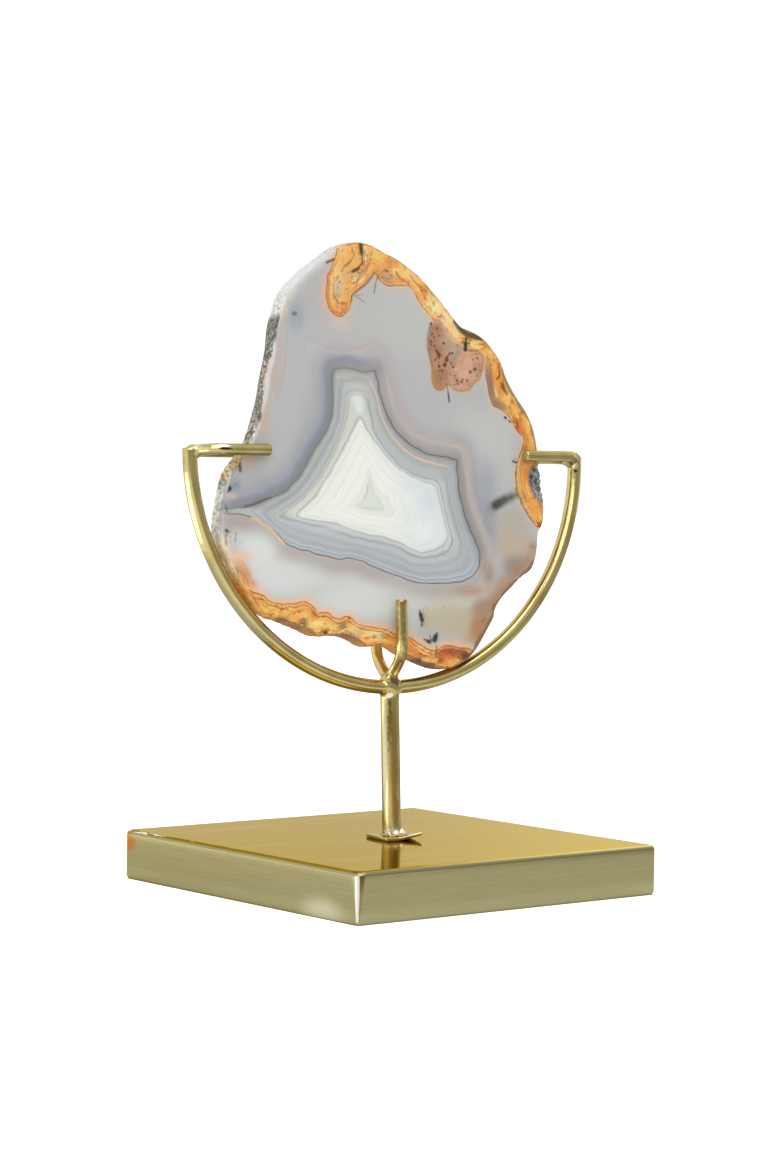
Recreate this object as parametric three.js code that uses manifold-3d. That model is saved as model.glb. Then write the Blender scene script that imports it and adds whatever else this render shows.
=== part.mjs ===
// A polished agate slice standing in a brass holder on a square brass base.
// Millimetres, +Z up. The origin is the centre of the base's underside.

import * as THREE from "three";
import { mergeVertices } from "three/addons/utils/BufferGeometryUtils.js";
import Module from "manifold-3d";

const wasm = await Module();
wasm.setup();

// Driving dimensions

const GAP = 0.3; // clearance left between pieces that touch

const base = {
  side: 127,
  height: 16.7,
  edgeRound: 1.6, // round of the top edges
  cornerLow: 1.2, // corner radius at the bottom
  cornerHigh: 3.6, // corner radius at the top
  taper: 0.4, // how far the foot is drawn in
  taperHeight: 1.2,
};

const plate = {
  side: 13.8,
  thick: 1.0,
  at: [-1.05, -4.17], // centre, a little off the post
  turn: -9.25, // degrees about the vertical
  curl: 1.5, // how far the right corner is lifted
  curlFrom: 2.5, // distance from the centre where the curl begins
  solder: [4.4, 4.4, 1.2], // half widths of the solder dome at the post's foot
  solderAt: [1.0, 1.8], // centre of the dome on the plate, under the post
};

// The holder is bent a little by hand: the arc's centre, and how it turns, tilts and leans back
const holder = { at: [1.5, 4.3, 145.1], turn: -4.75, tilt: 0.14, lean: 3.07 };

// Inside the holder, x runs along the stone's width, y to its back and z up, from the arc's centre
const arc = { radius: 78.1, rod: 4.76, leftExtra: 1.0 }; // the left end is cut a little longer
const post = { rod: 6.35, x: -1.85, foot: -126.0 };
const tineRod = 3.5;

// Lumps of solder on the arc: at the post and fork, and at each end where the clips begin
const joint = { at: [post.x, 0, -77.8], half: [3.9, 3.7, 4.5] };
const clipJoint = { in: 1.8, drop: 1.7, half: [2.0, 2.7, 2.5] };
const clipHeight = { left: 0.4, right: -0.2 };

// Prongs, as points of distance in from the arc's centre line and distance out from its plane
const clipProng = [[2.6, 1.95], [3.8, 3.5], [5.8, 5.7], [9.2, 6.95], [25.5, 7.0]];
const clipDrop = [1.7, 0.6, 0, 0, 0]; // how far each of those points lies below the clip's line
const forkFront = [
  [3.1, 1.9], [4.7, 2.0], [6.6, 3.3], [8.5, 5.0], [10.5, 6.3], [13.3, 7.6], [16.1, 7.85], [29.3, 7.85],
];
const forkBack = [
  [2.7, 1.9], [3.7, 2.0], [5.3, 3.1], [7.1, 4.3], [9.1, 5.6], [12.5, 6.9], [15.1, 7.3], [29.3, 7.3],
];

const stone = {
  front: -4.4,
  back: 2.6,
  loopPoints: 216,
  bevel: 0.25, // worn edge of the polished faces
  crust: 0.42, // roughness of the rind on the left
  skin: 0.16, // roughness of the rind elsewhere
};

// The hollow of crystals is open to the stone's right edge and front
const hollow = { top: -2.5, bottom: -17.8, edge: 60.1, reach: 5.5, depth: 1.7 };
const crystal = {
  count: 22,
  rows: 3,
  width: 1.05, // half the width of a usual one
  length: 2.1, // as a share of that
  depthOuter: 2.1, // its middle's depth behind the front face, in the row nearest the edge
  depthInner: 1.3,
  endMargin: 1.7,
};

// The stone's outline, counter-clockwise from the top: x, z
const outline = [
  [-14, 70], [-19.5, 69.3], [-24, 67.4], [-27.5, 64.8], [-32, 62], [-36.4, 58.6], [-40.6, 54.8],
  [-43.6, 50.6], [-45, 46.6], [-46.6, 42.2], [-47.4, 37.4], [-48, 32.4], [-49.4, 27.6], [-50.4, 22.8],
  [-51.6, 17.6], [-53.2, 12.4], [-55, 7.4], [-57.2, 2.4], [-61.4, -2.6], [-64.8, -6.8], [-66.8, -12],
  [-68, -17], [-69.1, -22.5], [-69, -28], [-66.6, -34], [-63, -40.4], [-59, -46.2], [-55, -51.2],
  [-50.6, -53.9], [-45.6, -55.4], [-41, -56.8], [-37.2, -58.4], [-34.2, -60], [-31, -60.6],
  [-27, -60.2], [-22.6, -60.7], [-18.2, -61.9], [-13.6, -64.2], [-10.6, -64.3], [-7.6, -63.7],
  [-3.4, -64.6], [0.6, -66.9], [4.6, -68.6], [8.6, -70.2], [13, -71.8], [17.6, -72.6], [22, -71.9],
  [26.6, -70.1], [30.4, -67.2], [34, -62.6], [36.6, -58.8], [38.9, -55.4], [39.3, -53], [42.2, -49],
  [46.6, -45.3], [51, -41.7], [54.8, -39.6], [57, -35.6], [58.1, -30], [58.6, -25.8], [60.2, -24],
  [60.8, -19], [60.5, -11.5], [59.4, -4], [58.3, 3.4], [56.9, 9.5], [53.9, 15.2], [49.6, 20.6],
  [46, 26], [43.5, 31.8], [39.8, 36.6], [35.4, 40.3], [31, 42.2], [27, 43.4], [23.4, 46.8],
  [19, 51.4], [14.4, 55.8], [10, 59.8], [5.2, 62.8], [0.6, 65.4], [-4, 67], [-8.6, 69],
];

// Materials: colour, roughness and metalness

const finish = (color, roughness, metalness) => new THREE.MeshStandardMaterial({ color, roughness, metalness });
const baseBrass = () => finish(0xb9a463, 0.28, 1);
const rodBrass = () => finish(0xc0ac66, 0.24, 1);
const agate = () => finish(0xc3c3c6, 0.12, 0);

// Helpers

const radians = THREE.MathUtils.degToRad;
const lerp = THREE.MathUtils.lerp;
const smooth = (t) => THREE.MathUtils.smoothstep(t, 0, 1);

// A repeatable value from -1 to 1 for each pair of whole numbers
function jitter(i, k) {
  const s = Math.sin(i * 12.9898 + k * 78.233) * 43758.5453;
  return 2 * (s - Math.floor(s)) - 1;
}

function closed(geometry) {
  geometry.deleteAttribute("normal");
  geometry.deleteAttribute("uv");
  return mergeVertices(geometry, 1e-4);
}

// A closed skin through rings of equal point counts, from low to high, flat at both ends.
// Each ring is counter-clockwise seen from the high end; its points are [x, y, z].
function loft(rings) {
  const count = rings[0].length;
  const faces = [];
  for (let k = 0; k + 1 < rings.length; k++) {
    for (let i = 0; i < count; i++) {
      const j = (i + 1) % count;
      const a = k * count + i;
      const b = k * count + j;
      faces.push(a, b, b + count, a, b + count, a + count);
    }
  }
  const cap = (ring) => THREE.ShapeUtils.triangulateShape(ring.map((p) => new THREE.Vector2(p[0], p[1])), []);
  const top = (rings.length - 1) * count;
  for (const [a, b, c] of cap(rings[0])) faces.push(a, c, b);
  for (const [a, b, c] of cap(rings.at(-1))) faces.push(top + a, top + b, top + c);
  const geometry = new THREE.BufferGeometry();
  geometry.setAttribute("position", new THREE.Float32BufferAttribute(rings.flat(2), 3));
  geometry.setIndex(faces);
  return geometry;
}

// A round rod along a path
function rod(path, diameter, sides, steps) {
  const corners = [];
  for (let i = 0; i < sides; i++) {
    const a = (2 * Math.PI * (i + 0.5)) / sides;
    corners.push(new THREE.Vector2(Math.cos(a), Math.sin(a)).multiplyScalar(diameter / 2));
  }
  return closed(new THREE.ExtrudeGeometry(new THREE.Shape(corners), { extrudePath: path, steps }));
}

// An egg-shaped lump with the given half widths
function lump(at, half, grown = 0) {
  const ball = new THREE.SphereGeometry(1, 12, 8);
  ball.scale(half[0] + grown, half[1] + grown, half[2] + grown);
  return closed(ball.translate(...at));
}

// Joins and cuts of closed geometries
function solid(geometry) {
  const vertProperties = new Float32Array(geometry.getAttribute("position").array);
  const triVerts = new Uint32Array(geometry.getIndex().array);
  return new wasm.Manifold(new wasm.Mesh({ numProp: 3, vertProperties, triVerts }));
}

function geometryOf(body) {
  const { vertProperties, triVerts, numProp } = body.getMesh();
  const points = [];
  for (let i = 0; i < vertProperties.length; i += numProp) points.push(...vertProperties.slice(i, i + 3));
  const geometry = new THREE.BufferGeometry();
  geometry.setAttribute("position", new THREE.Float32BufferAttribute(points, 3));
  geometry.setIndex(Array.from(triVerts));
  return geometry;
}

const fuse = (first, ...others) => geometryOf(others.reduce((body, g) => body.add(solid(g)), solid(first)));
const cut = (first, ...others) => geometryOf(others.reduce((body, g) => body.subtract(solid(g)), solid(first)));

function piece(name, geometry, material) {
  geometry.computeVertexNormals();
  const mesh = new THREE.Mesh(geometry, material);
  mesh.name = name;
  return mesh;
}

// Base

// A square with round corners, counter-clockwise
function roundedSquare(half, radius, z) {
  const steps = 6;
  const ring = [];
  for (let corner = 0; corner < 4; corner++) {
    for (let i = 0; i <= steps; i++) {
      const a = (Math.PI / 2) * (corner + i / steps);
      const cx = (half - radius) * Math.sign(Math.cos(Math.PI / 4 + (corner * Math.PI) / 2));
      const cy = (half - radius) * Math.sign(Math.sin(Math.PI / 4 + (corner * Math.PI) / 2));
      ring.push([cx + radius * Math.cos(a), cy + radius * Math.sin(a), z]);
    }
  }
  return ring;
}

function baseBlock() {
  const half = base.side / 2;
  const shoulder = base.height - base.edgeRound;
  const radiusAt = (z) => lerp(base.cornerLow, base.cornerHigh, z / shoulder);
  const rings = [roundedSquare(half - base.taper, base.cornerLow, 0)];
  for (const z of [base.taperHeight, base.height / 2, shoulder]) {
    rings.push(roundedSquare(half, radiusAt(z), z));
  }
  const roundSteps = 4;
  for (let i = 1; i <= roundSteps; i++) {
    const a = ((Math.PI / 2) * i) / roundSteps;
    const inset = base.edgeRound * (1 - Math.cos(a));
    const z = shoulder + base.edgeRound * Math.sin(a);
    rings.push(roundedSquare(half - inset, base.cornerHigh - inset * 0.6, z));
  }
  return loft(rings);
}

// Foot plate

function footPlate() {
  const sheet = closed(new THREE.BoxGeometry(plate.side, plate.side, plate.thick, 8, 8, 1));
  sheet.translate(0, 0, plate.thick / 2);
  const point = sheet.getAttribute("position");
  const farthest = plate.side / Math.SQRT2;
  for (let i = 0; i < point.count; i++) {
    const towardsCorner = (point.getX(i) - point.getY(i)) / Math.SQRT2;
    const t = Math.max(0, (towardsCorner - plate.curlFrom) / (farthest - plate.curlFrom));
    point.setZ(i, point.getZ(i) + plate.curl * t ** 1.4);
  }
  return fuse(sheet, lump([...plate.solderAt, plate.thick], plate.solder));
}

// Holder

function arcRod() {
  class HalfCircle extends THREE.Curve {
    getPoint(t, target = new THREE.Vector3()) {
      const a = lerp(Math.PI - arc.leftExtra / arc.radius, 2 * Math.PI, t);
      return target.set(arc.radius * Math.cos(a), 0, arc.radius * Math.sin(a));
    }
  }
  return fuse(
    rod(new HalfCircle(), arc.rod, 12, 48),
    lump(joint.at, joint.half),
    clipSolder(-1),
    clipSolder(1),
  );
}

function clipSolder(side, grown = 0) {
  const x = side * (arc.radius - clipJoint.in);
  return lump([x, 0, clipLine(side) - clipJoint.drop], clipJoint.half, grown);
}

function clipLine(side) {
  return side < 0 ? clipHeight.left : clipHeight.right;
}

const prongRod = (points) => rod(new THREE.CatmullRomCurve3(points), tineRod, 10, 18);

// The space that a straight stretch of the arc's rod takes with its clearance, standing upright
function arcSpace(length) {
  const radius = arc.rod / 2 + GAP;
  return closed(new THREE.CylinderGeometry(radius, radius, length, 14).rotateX(Math.PI / 2));
}

// A clip's prong leaves the inside of the arc's end, spreads, and runs in over the stone's face
function clipProngRod(side, face) {
  const points = clipProng.map(([inward, out], i) => new THREE.Vector3(
    side * (arc.radius - inward),
    face * out,
    clipLine(side) - clipDrop[i],
  ));
  const prong = prongRod(points);
  const arcEnd = arcSpace(6 * tineRod).translate(side * arc.radius, 0, 0);
  return cut(prong, clipSolder(side, GAP), arcEnd);
}

// A fork's prong rises from the solder over the post and spreads in the same way
function forkProngRod(shape, face) {
  const points = shape.map(([inward, out]) => new THREE.Vector3(post.x, face * out, inward - arc.radius));
  const prong = prongRod(points);
  return cut(prong, lump(joint.at, joint.half, GAP));
}

function postRod() {
  const length = joint.at[2] - post.foot;
  const cylinder = new THREE.CylinderGeometry(post.rod / 2, post.rod / 2, length, 22);
  cylinder.rotateX(Math.PI / 2);
  cylinder.translate(post.x, 0, post.foot + length / 2);
  const arcBottom = arcSpace(4 * post.rod).rotateY(Math.PI / 2).translate(post.x, 0, -arc.radius);
  return cut(closed(cylinder), lump(joint.at, joint.half, GAP), arcBottom);
}

// Stone

// How deep the hollow reaches in from the edge at this point, from 0 to 1
function hollowAt(x, z) {
  if (x < 50 || z > hollow.top || z < hollow.bottom) return 0;
  return Math.sin((Math.PI * (hollow.top - z)) / (hollow.top - hollow.bottom)) ** 0.75;
}

// The left rind is a coarse crust; the rest is a smoother skin
function roughnessAt(x) {
  return lerp(stone.crust, stone.skin, smooth((x + 50) / 30));
}

function stoneSlice() {
  const curve = new THREE.CatmullRomCurve3(outline.map(([x, z]) => new THREE.Vector3(x, z, 0)), true);
  const loop = curve.getSpacedPoints(stone.loopPoints).slice(0, -1);
  const thick = stone.back - stone.front;
  // Each layer: height from the back, inset, share of the roughness, share of the hollow
  const layers = [
    [0, stone.bevel, 0.2, 0],
    [0.4, 0, 0.8, 0],
    [thick * 0.32, -0.1, 1, 0],
    [thick * 0.56, -0.1, 1, -0.16],
    [thick * 0.78, 0, 1, -0.22],
    [thick - 0.45, 0, 0.8, 0.72],
    [thick, stone.bevel, 0.2, 1],
  ];
  const rings = layers.map(([height, inset, roughShare, hollowShare], k) => loop.map((p, i) => {
    const before = loop[(i + loop.length - 1) % loop.length];
    const after = loop[(i + 1) % loop.length];
    const along = new THREE.Vector3().subVectors(after, before).normalize();
    const inward = new THREE.Vector3(-along.y, along.x, 0);
    const rough = roughnessAt(p.x) * roughShare * (0.6 * jitter(i, k) + 0.4 * jitter(Math.floor(i / 3), 9));
    const open = hollowAt(p.x, p.y) * hollowShare;
    const q = p.clone().addScaledVector(inward, inset + rough + open * hollow.reach);
    const sunk = k === layers.length - 2 ? hollowAt(p.x, p.y) * hollow.depth : 0;
    return [q.x, q.y, height - sunk];
  }));
  const slice = loft(rings).translate(0, 0, -stone.back).rotateX(Math.PI / 2);
  return fuse(slice, ...crystals());
}

// Six-sided crystal points standing on the hollow's sloping floor
function crystals() {
  const points = [];
  for (let i = 0; i < crystal.count; i++) {
    const t = (i + 0.5) / crystal.count;
    const row = (i % crystal.rows) / (crystal.rows - 1);
    const z = lerp(hollow.top - crystal.endMargin, hollow.bottom + crystal.endMargin, t) + 0.3 * jitter(i, 1);
    const inward = hollowAt(hollow.edge, z) * hollow.reach * lerp(0.08, 0.86, row);
    const size = crystal.width + 0.3 * jitter(i, 3);
    const point = new THREE.ConeGeometry(size, size * crystal.length, 6);
    point.rotateZ(-0.5 + 0.5 * jitter(i, 4));
    point.rotateX(Math.PI + 0.45 * jitter(i, 5));
    point.translate(
      hollow.edge - inward + 0.2 * jitter(i, 2),
      stone.front + lerp(crystal.depthOuter, crystal.depthInner, row),
      z,
    );
    points.push(closed(point));
  }
  return points;
}

// Assembly

const agateStand = new THREE.Group();
agateStand.add(piece("base", baseBlock(), baseBrass()));

const foot = new THREE.Group();
foot.position.set(...plate.at, base.height + GAP);
foot.rotation.z = radians(plate.turn);
foot.add(piece("foot_plate", footPlate(), rodBrass()));
agateStand.add(foot);

const held = new THREE.Group();
held.position.set(...holder.at);
held.rotation.set(-radians(holder.lean), -radians(holder.tilt), radians(holder.turn), "ZYX");
held.add(piece("post", postRod(), rodBrass()));
held.add(piece("arc", arcRod(), rodBrass()));
held.add(piece("left_front_tine", clipProngRod(-1, -1), rodBrass()));
held.add(piece("left_back_tine", clipProngRod(-1, 1), rodBrass()));
held.add(piece("right_front_tine", clipProngRod(1, -1), rodBrass()));
held.add(piece("right_back_tine", clipProngRod(1, 1), rodBrass()));
held.add(piece("fork_front_tine", forkProngRod(forkFront, -1), rodBrass()));
held.add(piece("fork_back_tine", forkProngRod(forkBack, 1), rodBrass()));
held.add(piece("agate_slice", stoneSlice(), agate()));
agateStand.add(held);

export default agateStand;
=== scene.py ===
"""Looks of a polished agate slice that stands in a brass holder on a square brass base."""

import math

import bmesh
import bpy
import numpy as np
from mathutils import Euler, Matrix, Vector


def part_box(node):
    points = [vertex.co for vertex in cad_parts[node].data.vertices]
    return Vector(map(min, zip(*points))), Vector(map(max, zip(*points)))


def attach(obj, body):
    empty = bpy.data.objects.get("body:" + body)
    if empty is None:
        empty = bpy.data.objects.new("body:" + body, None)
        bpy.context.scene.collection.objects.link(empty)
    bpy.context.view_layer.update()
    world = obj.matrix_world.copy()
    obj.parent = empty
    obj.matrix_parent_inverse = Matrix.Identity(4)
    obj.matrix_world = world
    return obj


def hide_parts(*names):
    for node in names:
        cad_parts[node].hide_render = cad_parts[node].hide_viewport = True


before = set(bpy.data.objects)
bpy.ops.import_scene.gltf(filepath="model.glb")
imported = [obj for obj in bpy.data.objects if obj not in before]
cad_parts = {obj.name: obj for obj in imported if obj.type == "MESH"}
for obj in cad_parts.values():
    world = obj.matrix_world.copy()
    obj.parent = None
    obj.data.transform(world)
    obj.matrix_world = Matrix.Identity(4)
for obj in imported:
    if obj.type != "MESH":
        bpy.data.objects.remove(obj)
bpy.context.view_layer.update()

# Lengths are millimetres, and meshes are turned into metres as they are made.
# The camera, the lights, the floor and the places inside materials are in metres.
MM = 0.001
TAU = 2 * math.pi

# The holder's own frame: x along the stone's width, y to its back, z up, from the arc's centre
HOLDER_AT = (1.5, 4.3, 145.1)
HOLDER_LEAN, HOLDER_TILT, HOLDER_TURN = 3.07, 0.14, -4.75
held = np.array(
    Matrix.Translation(HOLDER_AT)
    @ Euler([math.radians(a) for a in (-HOLDER_LEAN, -HOLDER_TILT, HOLDER_TURN)], "XYZ").to_matrix().to_4x4()
)


def from_holder(points):
    """Points of the holder's frame, in the base's frame, still in millimetres."""
    return np.asarray(points) @ held[:3, :3].T + held[:3, 3]


def into_holder(points):
    return (np.asarray(points) - held[:3, 3]) @ held[:3, :3]


def coordinates(mesh):
    """A mesh's points, one row each."""
    co = np.zeros(len(mesh.vertices) * 3, np.float32)
    mesh.vertices.foreach_get("co", co)
    return co.reshape(-1, 3).astype(float)


# Sizes that the holder's rods share with the solids
ARC_RADIUS, ARC_ROD, ARC_EXTRA = 78.1, 4.76, 1.0
POST_ROD, POST_X, POST_FOOT = 6.35, -1.85, -127.4
TINE_ROD, ARC_STEPS = 3.8, 96
CLIP_LINE = {-1: 0.4, 1: -0.2}


# Camera, light and floor

CAMERA_AT = (-0.6344, -0.7777, 0.1415)
CAMERA_YAW, CAMERA_PITCH, CAMERA_ROLL = 39.15, 2.29, 0.97
LENS, SENSOR = 92.3, 36
FLOOR_REACH = 6.0


def add_object(name, data):
    made = bpy.data.objects.new(name, data)
    bpy.context.scene.collection.objects.link(made)
    return made


def add_camera():
    """A long lens a metre away, level with the stone's middle, with the photo's slight roll."""
    yaw, pitch, roll = (math.radians(a) for a in (CAMERA_YAW, CAMERA_PITCH, CAMERA_ROLL))
    data = bpy.data.cameras.new("camera")
    data.lens = LENS
    data.sensor_width = SENSOR
    data.clip_start = 0.1
    data.clip_end = 50
    camera = add_object("camera", data)
    turn = Matrix.Rotation(-yaw, 4, "Z") @ Matrix.Rotation(math.pi / 2 - pitch, 4, "X")
    camera.matrix_world = Matrix.Translation(CAMERA_AT) @ turn @ Matrix.Rotation(roll, 4, "Z")
    bpy.context.scene.camera = camera


def add_light(name, place, target, size, power):
    """A soft box of size (width, height) that faces the target."""
    data = bpy.data.lights.new(name, "AREA")
    data.shape = "RECTANGLE"
    data.size, data.size_y = size
    data.energy = power
    light = add_object(name, data)
    light.location = place
    aim = Matrix.Translation(target).translation - light.location
    light.rotation_euler = aim.to_track_quat("-Z", "Y").to_euler()


def add_room():
    """A white studio. The brass mirrors a bright wall behind and to the left, and a dim room in front."""
    world = bpy.data.worlds.new("studio")
    bpy.context.scene.world = world
    s = Shader("studio", world)
    toward = s.node("TexCoord").outputs["Generated"]
    behind = s.step(s.vector("DOT_PRODUCT", toward, (0.63, 0.78, 0.0)), 0.1, 0.6)
    left = s.step(s.vector("DOT_PRODUCT", toward, (-0.9, 0.42, 0.0)), 0.45, 0.8)
    above = s.step(s.parts(toward)[2], 0.15, 0.5)
    room = s.mix(above, (0.38, 0.38, 0.33), (0.60, 0.61, 0.63))
    walls = s.mix(s.sum("MAXIMUM", behind, left), room, (1.0, 1.0, 0.99))
    seen = s.node("LightPath").outputs["Is Camera Ray"]
    s.plug(s.tree.nodes["Background"].inputs["Color"], s.mix(seen, walls, (1.05, 1.05, 1.05)))
    add_light("overhead", (-0.1, -0.5, 1.7), (0, 0, 0.1), (1.6, 1.2), 11)
    add_light("front", (-1.0, -1.25, 0.95), (0, 0, 0.14), (1.6, 0.9), 7.4)
    bpy.context.scene.view_settings.view_transform = "Standard"
    bpy.context.scene.view_settings.look = "None"


def add_floor():
    """A white floor. The brass mirrors it bright on the left, and in shade on the right in front."""
    floor = bpy.data.meshes.new("floor")
    corners = [(x * FLOOR_REACH, y * FLOOR_REACH, 0) for x, y in ((-1, -1), (1, -1), (1, 1), (-1, 1))]
    floor.from_pydata(corners, [], [(0, 1, 2, 3)])
    ground = add_object("floor", floor)
    s = Shader("floor_paint")
    spot = s.place()
    aside = s.step(s.vector("DOT_PRODUCT", spot, (0.775, -0.632, 0.0)), 0.16, 0.34)
    before = s.step(s.vector("DOT_PRODUCT", spot, (0.632, 0.775, 0.0)), 1.2, 0.5)
    lit = s.mix(s.times(aside, before), (0.72, 0.72, 0.70), (0.25, 0.24, 0.20))
    turned = s.vector("DOT_PRODUCT", s.vector("NORMALIZE", spot), (-0.905, 0.425, 0.0))
    far = s.vector("LENGTH", spot)
    bright = s.times(s.step(turned, 0.76, 0.9), s.step(far, 1.6, 1.1))
    bright = s.times(bright, s.times(s.step(far, 0.22, 0.34), 2.0))
    seen = s.node("LightPath").outputs["Is Camera Ray"]
    s.principled(**{
        "Base Color": s.mix(seen, lit, (0.9, 0.9, 0.9)), "Roughness": 0.9,
        "Emission Color": (1, 1, 1),
        "Emission Strength": s.node("Mix", seen, None, s.sum("ADD", bright, 0.1), 0.6).outputs[0],
    })
    floor.materials.append(s.material)


# Shader building


def srgb(*values):
    """A colour read as 0 to 255 steps of the screen, as the shader's linear values."""
    c = np.array(values, float) / 255
    return np.where(c <= 0.04045, c / 12.92, ((c + 0.055) / 1.055) ** 2.4)


class Shader:
    """A material's or world's nodes, built by short calls that return the output to plug in further on."""

    def __init__(self, name, world=None):
        self.material = world or bpy.data.materials.new(name)
        self.material.use_nodes = True
        self.tree = self.material.node_tree
        self.shader = self.tree.nodes.get("Principled BSDF")

    def plug(self, socket, value):
        if isinstance(value, bpy.types.NodeSocket):
            self.tree.links.new(value, socket)
        elif socket.type == "RGBA":
            socket.default_value = (*value[:3], 1)
        else:
            socket.default_value = value

    def node(self, kind, *values, **settings):
        node = self.tree.nodes.new("ShaderNode" + kind)
        for name, value in settings.items():
            setattr(node, name, value)
        for socket, value in zip(node.inputs, values):
            if value is not None:
                self.plug(socket, value)
        return node

    def sum(self, operation, *values):
        return self.node("Math", *values, operation=operation).outputs[0]

    def times(self, first, second):
        return self.sum("MULTIPLY", first, second)

    def minus(self, first, second):
        return self.sum("SUBTRACT", first, second)

    def fit(self, value, scale, offset):
        return self.sum("MULTIPLY_ADD", value, scale, offset)

    def vector(self, operation, *values):
        node = self.node("VectorMath", *values, operation=operation)
        return node.outputs["Value" if operation in ("LENGTH", "DISTANCE", "DOT_PRODUCT") else "Vector"]

    def step(self, value, low, high, kind="SMOOTHSTEP"):
        """0 where the value is at low, 1 where it is at high, and smooth between them."""
        node = self.node("MapRange", value, low, high, 0.0, 1.0, interpolation_type=kind, clamp=True)
        return node.outputs[0]

    def line(self, value, at, wide, narrow):
        """A line where the value passes a level: 1 up to narrow away from it, and 0 from wide on."""
        return self.step(self.sum("ABSOLUTE", self.minus(value, at)), wide, narrow)

    def mix(self, share, first, second, blend="MIX"):
        node = self.tree.nodes.new("ShaderNodeMix")
        node.data_type = "RGBA"
        node.blend_type = blend
        self.plug(node.inputs[0], share)
        self.plug(node.inputs[6], first)
        self.plug(node.inputs[7], second)
        return node.outputs[2]

    def over(self, colour, tone, share, strength=None):
        """A colour with a screen colour laid over it, by a share or the product of two."""
        share = share if strength is None else self.times(share, strength)
        return self.mix(share, colour, srgb(*tone))

    def ramp(self, value, stops):
        """Colours along a value: stops are (position, screen colour)."""
        node = self.node("ValToRGB", value)
        points = node.color_ramp.elements
        while len(points) < len(stops):
            points.new(1.0)
        for point, (position, colour) in zip(points, stops):
            point.position = position
            point.color = (*srgb(*colour), 1)
        return node.outputs[0]

    def noise(self, place, scale, detail=2, rough=0.5, bend=0.0):
        settings = {"Scale": scale, "Detail": detail, "Roughness": rough, "Distortion": bend}
        return self.texture("TexNoise", place, **settings)["Fac"]

    def cells(self, place, scale):
        return self.texture("TexVoronoi", place, Scale=scale)

    def texture(self, kind, place, **values):
        node = self.node(kind)
        self.plug(node.inputs["Vector"], place)
        for name, value in values.items():
            node.inputs[name].default_value = value
        return node.outputs

    def stretched(self, place, scale, detail):
        """Noise with its own scale along each axis."""
        return self.noise(self.vector("MULTIPLY", place, scale), 1.0, detail)

    def place(self):
        return self.node("TexCoord").outputs["Object"]

    def normal(self):
        return self.node("NewGeometry").outputs["Normal"]

    def attribute(self, name, output="Vector"):
        return self.node("Attribute", attribute_name=name).outputs[output]

    def parts(self, vector):
        return self.node("SeparateXYZ", vector).outputs

    def principled(self, **values):
        for name, value in values.items():
            self.plug(self.shader.inputs[name], value)


def make_piece(name, points, faces, materials, nodes):
    """A smooth mesh object from points in millimetres, which stands for solids and rides on the root."""
    mesh = bpy.data.meshes.new(name)
    mesh.from_pydata((np.asarray(points) * MM).tolist(), [], [list(map(int, f)) for f in faces])
    mesh.validate()
    for material in materials:
        mesh.materials.append(material)
    mesh.polygons.foreach_set("use_smooth", [True] * len(mesh.polygons))
    piece = add_object(name, mesh)
    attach(piece, "root")
    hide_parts(*nodes)
    return piece


def grid_faces(index):
    """The quads of a grid of points, and the points round its border."""
    quads = np.stack([index[:-1, :-1], index[1:, :-1], index[1:, 1:], index[:-1, 1:]], -1).reshape(-1, 4)
    return quads, np.concatenate([index[:-1, 0], index[-1, :-1], index[:0:-1, -1], index[0, :0:-1]])


def strip_faces(near, far):
    """The quads between two closed rows of points."""
    return np.stack([near, far, np.roll(far, -1), np.roll(near, -1)], 1)


FLIPPED = [0, 3, 2, 1]  # the corners of a quad in the other order


# Brass


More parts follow.
